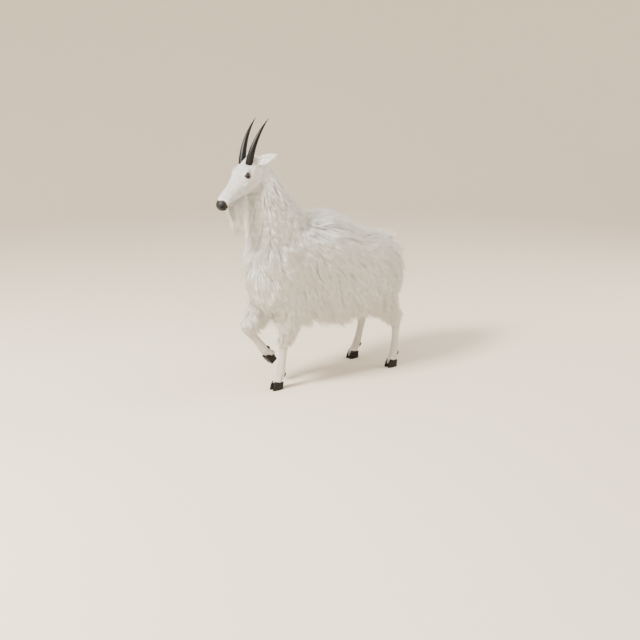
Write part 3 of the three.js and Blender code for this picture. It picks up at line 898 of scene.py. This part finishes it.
def eye_axes(side: Side) -> Array:
    """Gives the directions of an eye, which looks out, a little ahead and up.

    Args:
        side: Which eye.

    Returns:
        Columns for ahead, up and out.
    """
    out = unit(HEAD_AXES @ at(0.46, side.value, 0.16))
    ahead = HEAD_AXES @ at(1, 0, 0)
    ahead = unit(ahead - out * (ahead @ out))
    up = np.cross(out, ahead) * side.value
    return np.stack([ahead, up, out], axis=1)


def tone(points: Array, normals: Array) -> Array:
    """Gives the colour that skin and hair share at each place.

    Args:
        points: Rows of points, in m.
        normals: The way the skin faces there.

    Returns:
        Rows of red, green, blue and alpha.
    """
    white, cream = np.array([0.93, 0.915, 0.865]), np.array([0.85, 0.80, 0.69])
    black = np.array([0.012, 0.011, 0.011])
    patch = np.sin(points @ np.array([9.1, 4.3, 6.7])) * np.sin(points @ np.array([-3.7, 8.9, 5.1]) + 1.3)
    # Creamier towards the ground, and painted shade: surfaces that face down get a darker cream
    low = np.clip((0.62 - points[:, 2]) / 0.5, 0, 1) * 0.5 + np.clip(-normals[:, 2], 0, 1) * 0.25
    mix = np.clip(0.14 + 0.12 * patch + low, 0, 1)[:, None]
    colour = white * (1 - mix) + cream * mix
    nose, left, crown = head_parts(points).T
    on_face = (nose > 0) & (nose < FACE_NOSE) & (np.abs(left) < FACE_LEFT) & (np.abs(crown) < FACE_CROWN)
    pad = 1 / (1 + np.exp(-(nose + 0.10 * crown - PAD_NOSE - 5 * np.cos(left / 9)) / 1.1))
    lips = np.exp(-(((crown - MOUTH_CROWN + 1) / 4.2) ** 2)) * np.clip((nose - 262) / 30, 0, 1)
    dark = np.clip(np.maximum(pad, lips * 0.9), 0, 1) * on_face
    for side in Side:
        away = np.linalg.norm((points - eye_centre(side)) * 1000, axis=1)
        dark = np.maximum(dark, 0.985 / (1 + np.exp((away - EYE_RADIUS - 4.4) / 0.5)))
    colour = colour * (1 - dark[:, None]) + black * dark[:, None]
    return np.hstack([colour, np.ones((len(points), 1))])


@dataclass
class Coat:
    """All of the hair: tapered three-sided strands that run together into locks.

    Attributes:
        seed: Seed of the scatter.
        shares: Where along its length a strand has its rings.
        taper: Its width there, as a share of the full width.
        clump: How far a tip is drawn to the middle of its lock.
        lock: Skin between the middles of locks, as a share of the hair's length.
        near_rows: How many guides give the hair at a place.
        quick_share: Share of the strands in a quick picture; not used.
        eye_edge: Bare rim round the eye, in mm.
        root_depth: How far a strand starts under the skin, in m.
        stray: How much the strands' directions vary.
        lengths: Least and greatest share of the length.
        lifts: Least and greatest share of the stand-off.
        floor_gap: The least height of a strand, in m.
        flat: A strand's thickness, as a share of its width.
        patch: A strand's place on the map, across and along it.
        painted_root_shade: Its brightness from root to tip, painted shade that darkens each strand towards
            its root.
        darkest: The darkest tone of hair.
    """

    seed: int = 11
    shares: tuple = (0.0, 0.34, 0.68, 1.0)
    taper: tuple = (0.8, 1.0, 0.62, 0.06)
    clump: float = 0.62
    lock: float = 0.34
    near_rows: int = 9
    quick_share: float = 0.15
    eye_edge: float = 3.0
    root_depth: float = 0.0015
    stray: float = 0.10
    lengths: tuple = (0.72, 1.08)
    lifts: tuple = (0.75, 1.0)
    floor_gap: float = 0.012
    flat: float = 0.55
    patch: tuple = (0.0014, 0.001)
    # Painted shade: each strand is darker towards its root, deep in the coat
    painted_root_shade: tuple = (0.74, 0.9, 0.98, 1.0)
    darkest: tuple = (0.5, 0.47, 0.42)

    def build(self, skin: bpy.types.Object) -> list[bpy.types.Object]:
        """Grows the whole coat.

        Args:
            skin: The skin that it grows from.

        Returns:
            The pieces of hair.
        """
        rng = np.random.default_rng(self.seed)
        self.tree = BVHTree.FromObject(skin, bpy.context.evaluated_depsgraph_get())
        forms = (*BODY_LOFTS.values(), HEAD_LOFT, *map(Ear, Side))
        self.guides = np.vstack([form.guides() for form in forms])
        self.near = KDTree(len(self.guides))
        for i, row in enumerate(self.guides):
            self.near.insert(row[:3], i)
        self.near.balance()
        roots = self.scatter(skin, rng)
        paths = self.grow(roots, rng)
        LOG.info("%d strands", len(paths))
        pieces = []
        for start in range(0, len(paths), STRANDS_A_PIECE):
            part = slice(start, start + STRANDS_A_PIECE)
            name = f"coat_{len(pieces) + 1}"
            pieces.append(self.piece(name, paths[part], {key: value[part] for key, value in roots.items()}))
        return pieces

    def scatter(self, skin: bpy.types.Object, rng: np.random.Generator) -> dict[str, Array]:
        """Picks the roots and looks up how the hair grows at each.

        Args:
            skin: The skin.
            rng: The source of chance.

        Returns:
            Columns for place, normal, map place, length, width, stand-off and flow.
        """
        mesh = skin.data
        count = len(mesh.polygons)
        corners = read(mesh.polygons, "vertices", 3, np.int32)
        triangles = read(mesh.vertices, "co", 3)[corners]
        corner_normals = read(mesh.vertices, "normal", 3)[corners]
        uv = read(mesh.uv_layers["OFBake"].data, "uv", 2).reshape(-1, 3, 2)
        cross = np.cross(triangles[:, 1] - triangles[:, 0], triangles[:, 2] - triangles[:, 0])
        area = np.linalg.norm(cross, axis=1) / 2
        middles = triangles.mean(1)
        grown = self.lookup(middles)
        expected = area * grown[:, 9] * 1000 * self.grows(middles)
        number = np.floor(expected + rng.random(count)).astype(int)
        index = np.repeat(np.arange(count), number)
        rng.shuffle(index)
        a, b = rng.random((2, len(index)))
        over = a + b > 1
        a[over], b[over] = 1 - a[over], 1 - b[over]
        weights = np.stack([1 - a - b, a, b], axis=1)[..., None]
        roots = {
            "place": (triangles[index] * weights).sum(1),
            "normal": unit((corner_normals[index] * weights).sum(1)),
            "uv": (uv[index] * weights).sum(1),
        }
        grown = self.lookup(roots["place"])
        roots["length"], roots["width"] = grown[:, 3] / 1000, grown[:, 4] / 1000
        roots["off"], roots["flow"] = grown[:, 5], unit(grown[:, 6:9])
        self.crest(roots)
        self.beard(roots)
        order = np.argsort(np.round(roots["place"][:, 1] * 2), kind="stable")
        return {key: value[order] for key, value in roots.items()}

    def lookup(self, points: Array) -> Array:
        """Finds how the hair grows near points of the skin.

        Args:
            points: Rows of points, in m.

        Returns:
            Rows of the lofts' guides, each the mean of the nearest few.
        """
        found = [[hit[1] for hit in self.near.find_n(point, self.near_rows)] for point in points]
        return self.guides[np.array(found)].mean(1)

    def grows(self, points: Array) -> Array:
        """Tells where hair grows.

        Args:
            points: Rows of points, in m.

        Returns:
            1 where it grows and 0 on the nose, the lips and the eyelids' edges.
        """
        nose, left, crown = head_parts(points).T
        behind_pad = nose + 0.10 * crown < PAD_NOSE - 1 + 5 * np.cos(left / 9)
        haired = (behind_pad | (np.abs(crown) > FACE_CROWN) | (nose > FACE_NOSE)).astype(float)
        for side in Side:
            away = np.linalg.norm((points - eye_centre(side)) * 1000, axis=1)
            haired *= away > EYE_RADIUS + self.eye_edge
        hoof_top = 0.05
        return haired * (points[:, 2] > hoof_top)

    def crest(self, roots: dict[str, Array]) -> None:
        """Lengthens the hair along the spine, where it turns back, and low on the sides.

        Args:
            roots: The roots' columns, which are changed.
        """
        half_width, lowest, highest = 0.09, 0.7, 1.2
        hump_back, hump_long = 0.14, 0.2
        longer, longer_on_hump, higher_on_hump, longer_in_skirt = 0.2, 0.4, 0.5, 0.36
        place = roots["place"] - ORIGIN
        top = np.clip((roots["normal"][:, 2] - 0.55) / 0.4, 0, 1) * (np.abs(place[:, 0]) < half_width)
        top = top * (place[:, 2] > lowest) * (place[:, 2] < highest)
        hump = np.exp(-(((place[:, 1] + hump_back) / hump_long) ** 2))
        roots["length"] = roots["length"] * (1 + top * (longer + longer_on_hump * hump))
        roots["off"] = roots["off"] * (1 + higher_on_hump * top * hump)
        skirt = np.clip((0.72 - place[:, 2]) / 0.25, 0, 1) * np.clip((place[:, 2] - 0.4) / 0.1, 0, 1)
        skirt = skirt * (np.abs(place[:, 1] - 0.02) < 0.42) * np.clip(np.abs(place[:, 0]) / 0.1, 0.3, 1)
        roots["length"] = roots["length"] * (1 + longer_in_skirt * skirt)
        back = at(-1, 0, 0.05)
        roots["flow"] = unit(roots["flow"] * (1 - top[:, None]) + back * top[:, None])

    def beard(self, roots: dict[str, Array]) -> None:
        """Lets long hair hang under the jaw.

        Args:
            roots: The roots' columns, which are changed.
        """
        chin_middle, chin_half, chin_top, chin_wide = 232, 52, -24, 30
        chin_hair, cheek_hair, strand, stand_off = 0.235, 0.075, 0.0016, 0.01
        nose, left, crown = head_parts(roots["place"]).T
        chin = np.clip(1 - np.abs((nose - chin_middle) / chin_half) ** 4, 0, 1)
        chin = chin * (crown < chin_top) * (np.abs(left) < chin_wide)
        cheek = np.clip(1 - np.abs((nose - 95) / 90) ** 2, 0, 1) * np.clip((-20 - crown) / 40, 0, 1)
        pointed = 1 - 0.25 * np.abs(nose - 225) / 60
        roots["length"] = np.maximum(roots["length"], chin_hair * chin * pointed)
        roots["length"] = np.maximum(roots["length"], cheek_hair * cheek)
        roots["width"] = np.where(chin > 0.1, strand, roots["width"])
        down = at(-0.12, 0, -1)
        weight = np.clip(chin + cheek * 0.6, 0, 1)[:, None]
        roots["flow"] = unit(roots["flow"] * (1 - weight) + down * weight)
        roots["off"] = np.maximum(roots["off"], stand_off * weight[:, 0])

    def grow(self, roots: dict[str, Array], rng: np.random.Generator) -> Array:
        """Marches every strand over the skin and draws neighbours together.

        Args:
            roots: The roots' columns.
            rng: The source of chance.

        Returns:
            Points as (strands, rings, 3), in m.
        """
        count = len(roots["place"])
        length = roots["length"] * rng.uniform(*self.lengths, count)
        normal = roots["normal"].copy()
        place = roots["place"] - normal * self.root_depth
        flow = unit(roots["flow"] + rng.normal(0, self.stray, (count, 3)))
        heading = self.settle(flow, normal)
        paths = [place]
        for i in range(1, len(self.shares)):
            step = (self.shares[i] - self.shares[i - 1]) * length
            place = place + heading * step[:, None]
            wanted = roots["off"] * self.shares[i] ** 0.8 * rng.uniform(*self.lifts, count)
            for k in range(count):
                hit, face = self.tree.find_nearest(place[k])[:2]
                outside = (Vector(place[k]) - hit).dot(face)
                if outside < wanted[k]:
                    place[k] = np.array(hit) + np.array(face) * wanted[k]
                normal[k] = face
            paths.append(place.copy())
            heading = self.settle(unit(heading + flow), normal)
        return self.drawn_together(np.stack(paths, axis=1), roots, rng)

    def settle(self, heading: Array, normal: Array) -> Array:
        """Takes out of a direction what points into the skin.

        Args:
            heading: Directions of growth.
            normal: The way the skin faces.

        Returns:
            The directions along or away from the skin.
        """
        inward = np.minimum((heading * normal).sum(1), 0)[:, None]
        return unit(heading - normal * inward)

    def drawn_together(self, paths: Array, roots: dict[str, Array], rng: np.random.Generator) -> Array:
        """Bends the strands of each lock towards one of them.

        Args:
            paths: The strands' points.
            roots: The roots' columns.
            rng: The source of chance.

        Returns:
            The strands' points.
        """
        strand_area, fewest = 0.00005, 4
        chance = 1 / np.maximum((roots["length"] * self.lock) ** 2 / strand_area, fewest)
        leaders = np.where(rng.random(len(paths)) < chance)[0]
        near = KDTree(len(leaders))
        for i, leader in enumerate(leaders):
            near.insert(paths[leader, 0], i)
        near.balance()
        lead = leaders[[near.find(point)[1] for point in paths[:, 0]]]
        offset = paths[lead] - paths
        pull = np.array(self.shares) ** 1.3 * self.clump
        reach = np.maximum(roots["length"] * 0.6, 0.01)
        close = np.clip(1.3 - np.linalg.norm(offset[:, 0], axis=1) / reach, 0, 1)
        some = rng.uniform(0.6, 1, (len(paths), 1, 1))
        drawn = paths + offset * pull[None, :, None] * close[:, None, None] * some
        drawn[..., 2] = np.maximum(drawn[..., 2], self.floor_gap)
        return drawn

    def piece(self, name: str, paths: Array, roots: dict[str, Array]) -> bpy.types.Object:
        """Makes one mesh of many strands.

        Args:
            name: The piece's name.
            paths: Its strands' points.
            roots: Its roots' columns.

        Returns:
            The object.
        """
        count, rings = paths.shape[:2]
        tangent = unit(np.gradient(paths, axis=1))
        side = unit(np.cross(tangent, roots["normal"][:, None]))
        up = np.cross(side, tangent)
        half = roots["width"][:, None] * np.array(self.taper)[None, :] / 2
        corners = [side * half[..., None], up * half[..., None] * self.flat, -side * half[..., None]]
        body = np.stack([paths + corner for corner in corners], axis=2)[:, : rings - 1].reshape(count, -1, 3)
        points = np.concatenate([body, paths[:, -1:]], axis=1)
        each = points.shape[1]
        loops = [2, 1, 0]
        for k in range(3):
            n = (k + 1) % 3
            for ring in range(0, each - 4, 3):
                loops += [ring + k, ring + n, ring + 3 + n, ring + k, ring + 3 + n, ring + 3 + k]
            loops += [each - 4 + k, each - 4 + n, each - 1]
        faces = (np.arange(count)[:, None] * each + np.array(loops)[None]).reshape(-1)
        mesh = bpy.data.meshes.new(name)
        mesh.vertices.add(count * each)
        mesh.vertices.foreach_set("co", points.reshape(-1))
        mesh.loops.add(len(faces))
        mesh.loops.foreach_set("vertex_index", faces)
        mesh.polygons.add(len(faces) // 3)
        mesh.polygons.foreach_set("loop_start", np.arange(0, len(faces), 3))
        mesh.polygons.foreach_set("use_smooth", np.ones(len(faces) // 3, dtype=bool))
        mesh.update(calc_edges=True)
        ring = np.arange(each) // 3
        local = np.stack([np.where(ring < rings - 1, np.arange(each) % 3, 1), ring], axis=-1)
        spread = roots["uv"][:, None] + local[None] * np.array(self.patch) - self.patch[0]
        layer = mesh.uv_layers.new(name="OFBake")
        layer.data.foreach_set("uv", spread.reshape(-1, 2)[faces].reshape(-1))
        # Painted shade: strands are darkened towards the root, where the coat would shade itself
        shade = np.array(self.painted_root_shade)[ring][None, :, None]
        colour = np.ones((count, each, 4))
        base = tone(roots["place"], roots["normal"])[:, None, :3]
        colour[..., :3] = np.maximum(base, np.array(self.darkest)) * shade
        mesh.attributes.new("Tone", "FLOAT_COLOR", "POINT").data.foreach_set("color", colour.reshape(-1))
        obj = bpy.data.objects.new(name, mesh)
        bpy.context.scene.collection.objects.link(obj)
        return obj


@dataclass
class Horn:
    """A black horn that bends back, ringed at its root.

    Attributes:
        side: Which horn.
        rings: Growth rings.
        nose: Place of its root towards the nose, in mm.
        left: Place of its root from the middle.
        crown: Place of its root towards the crown.
        radius: Radius at the root.
        length: Length of its curve above the skin.
        sunk: Length of its root under the skin.
        rise: Slope at the root, in degrees.
        bend: How far it bends back, in degrees.
        splay: How far it leans out, in degrees.
    """

    side: Side
    rings: int = 11
    nose: float = 56
    left: float = 25
    crown: float = 50
    radius: float = 21
    length: float = 262
    sunk: float = 18
    rise: float = 84
    bend: float = 38
    splay: float = 8

    def build(self) -> bpy.types.Object:
        """Makes the horn.

        Returns:
            The object.
        """
        count = 150
        here = head_mm(self.nose, self.side.value * self.left, self.crown)
        rows = []
        for i in range(count + 1):
            share = i / count
            angle = radians(self.rise - self.bend * share**0.9)
            out = self.side.value * sin(radians(self.splay)) * (1 - share * 0.4)
            wave = abs(sin(share**0.8 * self.rings * 1.5 * pi)) * max(0.0, 1 - share * 1.7)
            radius = self.radius * max(1 - share**1.25, 0.015) * (0.972 + 0.03 * wave)
            rows.append([-here[1], here[0], here[2], radius, radius, radius * 1.08, 0, 0, 0])
            here = here + unit(at(-cos(angle), out, sin(angle))) * (self.length + self.sunk) / count
        horn = mesh_object(f"horn_{self.side.name.lower()}_visual", [Loft(np.array(rows)).shell(0, 220, 40)])
        horn.data.shade_smooth()
        return horn


@dataclass
class Claw:
    """One half of a hoof.

    Attributes:
        leg: The leg's name.
        side: Which half.
        length: Its length, in mm.
        width: Its width.
        cleft: The space between the halves.
        ahead: How far it stands ahead of the leg's end.
        lift_turn: How far the lifted hoof is tipped, in degrees.
        levels: Heights over the middle, share of the size, shift back and slope.
    """

    leg: str
    side: Side
    length: float = 74
    width: float = 27
    cleft: float = 3
    ahead: float = 4
    lift_turn: float = -48
    levels: tuple = ((-41, 1, 0, 0), (-28, 0.98, -1, 0), (-10, 0.92, -5, 2), (6, 0.8, -12, 6))

    def build(self) -> bpy.types.Object:
        """Makes the claw.

        Returns:
            The object.
        """
        lower = LEGS[self.leg][1]
        tip = self.lift_turn if self.leg == "foreleg_right" else 0
        tipped = np.array(Matrix.Rotation(radians(tip), 3, "X"))
        middle = self.side.value * (self.width + self.cleft) / 2
        levels = catmull(np.array(self.levels, dtype=float), np.linspace(0, 1, 15))
        levels = np.vstack([levels[:1], levels])
        turns = np.linspace(0, 2 * pi, 40, endpoint=False)
        grid = []
        c, s = np.cos(turns), np.sin(turns)
        for row, (up, wide, shift, slope) in enumerate(levels):
            reach = np.where(c > 0, c, -(np.abs(c) ** 0.7)) * self.length / 2 * wide
            half = np.abs(s) ** 0.8 * self.width / 2 * (1 - 0.35 * np.maximum(c, 0) ** 2)
            lean = np.where(np.sign(s) == self.side.value, wide, 1.0)
            trim = 0.955 if row == 0 else 1 - 0.008 * abs(sin(row * 1.5))
            ring = [
                at(self.ahead + shift + r * trim, middle + np.sign(t) * h * k * trim, up + slope * q)
                for r, h, k, t, q in zip(reach, half, lean, s, c)
            ]
            grid.append(ring)
        points = np.array(grid) @ tipped.T + at(*lower[-1, :3])
        name = f"{self.leg}_claw_{self.side.name.lower()}_visual"
        claw = mesh_object(name, [close_grid(points / 1000 + ORIGIN)])
        for polygon in claw.data.polygons:
            polygon.use_smooth = abs(polygon.normal.z) < 0.9
        return claw


@dataclass
class Dewclaws:
    """The two small claws behind every fetlock.

    Attributes:
        half: Half the width of one, in mm.
        deep: How far it stands out.
        tall: Half its height.
        apart: How far it is from the middle of the leg.
        below: How far it is below the fetlock.
        sunk: How far its middle is under the skin.
    """

    half: float = 9
    deep: float = 8
    tall: float = 15
    apart: float = 12
    below: float = 10
    sunk: float = 4

    def build(self) -> bpy.types.Object:
        """Makes all of them.

        Returns:
            The object.
        """
        left = at(0, 1, 0)
        shells = []
        for _, lower in LEGS.values():
            fetlock, pastern = at(*lower[4, :3]), at(*lower[5, :3])
            down = unit(pastern - fetlock)
            back = np.cross(left, down)
            for side in Side:
                spot = fetlock + back * (lower[4, 4] - self.sunk)
                spot = spot + left * side.value * self.apart + down * self.below
                axes = np.stack([left, back, -down], axis=1)
                shells.append(egg(spot / 1000 + ORIGIN, axes, (self.deep, self.half, self.tall), 14))
        claws = mesh_object("dewclaws", shells)
        claws.data.shade_smooth()
        return claws


@dataclass
class Eye:
    """A glossy dark eye with an amber ring and a level pupil.

    Attributes:
        side: Which eye.
        edge: Its colour outside the discs.
        discs: Ovals one on another: colour, half their width and height in m, and softness of the edge.
        roughness: How dull it is.
        gloss: The strength of its reflection.
    """

    side: Side
    edge: tuple = (0.012, 0.009, 0.008)
    discs: tuple = (
        ((0.055, 0.024, 0.008), 0.0112, 0.0108, 0.12),
        ((0.02, 0.009, 0.004), 0.0096, 0.0078, 0.3),
        ((0.003, 0.003, 0.004), 0.0074, 0.0042, 0.1),
    )
    roughness: float = 0.07
    gloss: float = 0.3

    def build(self) -> bpy.types.Object:
        """Makes the eye and its own material.

        Returns:
            The object.
        """
        ahead, _, out = eye_axes(self.side).T
        axes = np.stack([ahead, np.cross(out, ahead), out], axis=1)
        ball = egg(np.zeros(3), np.eye(3), (EYE_RADIUS, EYE_RADIUS, EYE_RADIUS), 40)
        eye = mesh_object(f"eye_{self.side.name.lower()}_visual", [ball])
        eye.matrix_world = Matrix.Translation(eye_centre(self.side)) @ Matrix(axes.tolist()).to_4x4()
        eye.data.shade_smooth()
        eye.data.materials.append(self.material())
        return eye

    def material(self) -> bpy.types.Material:
        """Makes the eye's surface.

        Returns:
            The material.
        """
        material = bpy.data.materials.new(f"eye_{self.side.name.lower()}")
        material.use_nodes = True
        tree = material.node_tree
        below = (*self.edge, 1)
        for colour, *shape in self.discs:
            inputs = {"Factor": self.disc(tree, *shape), "A": below, "B": (*colour, 1)}
            below = add_node(tree, "Mix", inputs, data_type="RGBA").outputs["Result"]
        looks = {"Roughness": self.roughness, "Specular IOR Level": self.gloss, "Base Color": below}
        feed(tree, tree.nodes["Principled BSDF"], looks)
        return material

    def disc(self, tree: bpy.types.NodeTree, wide: float, tall: float, soft: float) -> bpy.types.NodeSocket:
        """Makes a mask in the shape of an oval on the eye's front.

        Args:
            tree: The material's nodes.
            wide: Half its width, in m.
            tall: Half its height, in m.
            soft: How soft its edge is, as a share of its size.

        Returns:
            1 inside the oval and 0 outside.
        """
        place = add_node(tree, "TexCoord", {}).outputs["Object"]
        scaled = {0: place, 1: (1 / wide, 1 / tall, 0)}
        shape = add_node(tree, "VectorMath", scaled, operation="MULTIPLY").outputs["Vector"]
        size = add_node(tree, "VectorMath", {0: shape}, operation="LENGTH").outputs["Value"]
        limits = {"From Min": 1 - soft, "From Max": 1 + soft, "To Min": 1, "To Max": 0}
        return add_node(tree, "MapRange", {**limits, "Value": size}).outputs["Result"]


@dataclass(frozen=True)
class Studio:
    """A pale floor, soft lights and the camera.

    Attributes:
        azimuth: Where the camera stands round the goat, in degrees.
        elevation: How far it looks down, in degrees.
        distance: How far away it is, in m.
        scale: Pixels for each metre at that distance.
        picture: Width and height of the picture that the next values are for, in pixels.
        hoof: Where the standing forehoof falls in that picture.
        sensor: Width of the camera's sensor, in mm.
        level: Radius of the floor's level part, in m.
        sweep: Radius of the curve that ends it.
        top: Height of its edge.
        sides: Points round the floor.
        lamps: Name, place, width in m, power in W and colour of each light.
        air: Colour of the light from all round.
        air_strength: Its strength.
    """

    azimuth: float = 52.0
    elevation: float = 16.0
    distance: float = 5.2
    scale: float = 171.0
    picture: int = 640
    hoof: tuple = (277.0, 389.0)
    sensor: float = 36
    level: float = 6.5
    sweep: float = 5
    top: float = 9
    sides: int = 96
    lamps: tuple = (
        ("key", (0.2, -5.0, 5.0), 1.6, 1350, (1.0, 0.97, 0.92)),
        ("fill", (4.5, -2.2, 2.6), 3.5, 90, (0.94, 0.96, 1.0)),
        ("rim", (1.5, 4.2, 3.4), 2.5, 200, (1.0, 0.97, 0.93)),
    )
    air: tuple = (1.0, 0.96, 0.9)
    air_strength: float = 1.3

    def build(self) -> None:
        """Sets the floor, the lights, the world and the camera."""
        self.floor()
        for facts in self.lamps:
            self.lamp(*facts)
        world = bpy.data.worlds.new("room")
        world.use_nodes = True
        world.node_tree.nodes["Background"].inputs["Color"].default_value = (*self.air, 1)
        world.node_tree.nodes["Background"].inputs["Strength"].default_value = self.air_strength
        bpy.context.scene.world = world
        self.camera()

    def floor(self) -> None:
        """Adds a round floor that curves up all round, just under the hooves."""
        middle, under = 0.001, 0.0005
        curve = [
            (self.level + self.sweep * sin(a), self.sweep - self.sweep * cos(a))
            for a in np.linspace(0.05, pi / 2, 24)
        ]
        profile = [(middle, 0), (self.level, 0), *curve, (self.level + self.sweep, self.top)]
        turns = np.linspace(0, 2 * pi, self.sides, endpoint=False)
        points = [(r * cos(t), r * sin(t), u - under) for r, u in profile for t in turns]
        faces = []
        for here in range(0, len(points) - self.sides, self.sides):
            for j in range(self.sides):
                k = (j + 1) % self.sides
                faces.append((here + j, here + self.sides + j, here + self.sides + k, here + k))
        mesh = bpy.data.meshes.new("floor")
        mesh.from_pydata(points, [], faces)
        mesh.shade_smooth()
        mesh.materials.append(Finish("pale_floor", (0.72, 0.63, 0.50), 0.95, mottle=0.0, bump=0).build())
        floor = bpy.data.objects.new("floor", mesh)
        bpy.context.scene.collection.objects.link(floor)

    def lamp(self, name: str, place: tuple, size: float, power: float, colour: tuple) -> None:
        """Adds a soft light that looks at the goat.

        Args:
            name: The light's name.
            place: Where it is, in m.
            size: Its width, in m.
            power: Its power, in W.
            colour: Its colour.
        """
        data = bpy.data.lights.new(name, "AREA")
        data.size, data.energy, data.color = size, power, colour
        lamp = bpy.data.objects.new(name, data)
        lamp.location = place
        lamp.rotation_euler = (Vector((0, 0, 0.8)) - Vector(place)).to_track_quat("-Z", "Y").to_euler()
        bpy.context.scene.collection.objects.link(lamp)

    def camera(self) -> None:
        """Sets the camera so that the standing forehoof falls where the picture has it."""
        a, e = radians(self.azimuth), radians(self.elevation)
        towards = np.array([sin(a) * cos(e), -cos(a) * cos(e), sin(e)])
        right = np.array([cos(a), sin(a), 0])
        up = np.cross(towards, right)
        foot = at(*LEGS["foreleg_left"][1][-1, :3]) / 1000 + ORIGIN
        foot[2] = 0
        across, down = self.hoof
        middle = self.picture / 2
        target = foot + right * (middle - across) / self.scale + up * (down - middle) / self.scale
        data = bpy.data.cameras.new("camera")
        data.sensor_width = self.sensor
        data.lens = self.sensor * self.scale * self.distance / self.picture
        camera = bpy.data.objects.new("camera", data)
        turn = Matrix(np.stack([right, up, towards], axis=1).tolist()).to_4x4()
        camera.matrix_world = Matrix.Translation(target + towards * self.distance) @ turn
        bpy.context.scene.collection.objects.link(camera)
        bpy.context.scene.camera = camera


def unwrap(obj: bpy.types.Object) -> None:
    """Gives an object a map of its own shape for the bake.

    Args:
        obj: The object.
    """
    obj.data.uv_layers.new(name="OFBake")
    for other in bpy.context.selected_objects:
        other.select_set(False)
    bpy.context.view_layer.objects.active = obj
    obj.select_set(True)
    bpy.ops.object.mode_set(mode="EDIT")
    bpy.ops.mesh.select_all(action="SELECT")
    bpy.ops.uv.smart_project(angle_limit=radians(66), island_margin=0.002)
    bpy.ops.object.mode_set(mode="OBJECT")


def paint(obj: bpy.types.Object) -> None:
    """Writes the shared tone on the skin.

    Args:
        obj: The skin.
    """
    mesh = obj.data
    colour = tone(read(mesh.vertices, "co", 3), read(mesh.vertices, "normal", 3))
    under_hair, pale = 0.88, 0.4
    colour[:, :3] *= np.where(colour[:, :1] > pale, under_hair, 1)
    mesh.attributes.new("Tone", "FLOAT_COLOR", "POINT").data.foreach_set("color", colour.reshape(-1))


def main() -> None:
    """Builds every piece of the goat and the studio."""
    logging.basicConfig(level=logging.INFO)
    skin = Skin().build()
    unwrap(skin)
    paint(skin)
    skin.data.materials.clear()
    hide = Finish("hide", roughness=0.5, toned=True, mottle=0.06, scale=420, bump=1.1, gloss=0.22).build()
    skin.data.materials.append(hide)
    LOG.info("skin %d faces", len(skin.data.polygons))
    flesh = ["torso", "neck", "head", "nose", "tail", "ear_left", "ear_right"]
    flesh += [f"{leg}_{part}" for leg in LEGS for part in ("upper", "lower")]
    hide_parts(*flesh)
    pieces = [(skin, "face")]
    hair = Finish("hair", roughness=0.6, toned=True, mottle=0.07, scale=30, bump=0, sheen=0.15, gloss=0.3)
    strands = hair.build()
    for piece in Coat().build(skin):
        piece.data.materials.append(strands)
        pieces.append((piece, "coat"))
    horn = Finish("horn", (0.008, 0.007, 0.0065), 0.36, mottle=0.4, scale=160, bump=0.2, gloss=0.2).build()
    hoof = Finish("hoof", (0.012, 0.010, 0.009), 0.5, mottle=0.5, scale=180, bump=0.4, gloss=0.2).build()
    dewclaws = Dewclaws().build()
    dewclaws.data.materials.append(hoof)
    pieces.append((dewclaws, "hoof"))
    for side in Side:
        made = Horn(side).build()
        made.data.materials.append(horn)
        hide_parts(f"horn_{side.name.lower()}")
        pieces.append((made, "horn"))
        eye = Eye(side).build()
        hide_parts(f"eye_{side.name.lower()}")
        pieces.append((eye, "eye"))
        for leg in LEGS:
            claw = Claw(leg, side).build()
            claw.data.materials.append(hoof)
            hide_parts(f"{leg}_claw_{side.name.lower()}")
            pieces.append((claw, "hoof"))
    for piece, slot in pieces:
        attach(piece, "root")
        LOG.info("piece %s: %d faces", piece.name, len(piece.data.polygons))
    Studio().build()


if __name__ == "__main__":
    main()
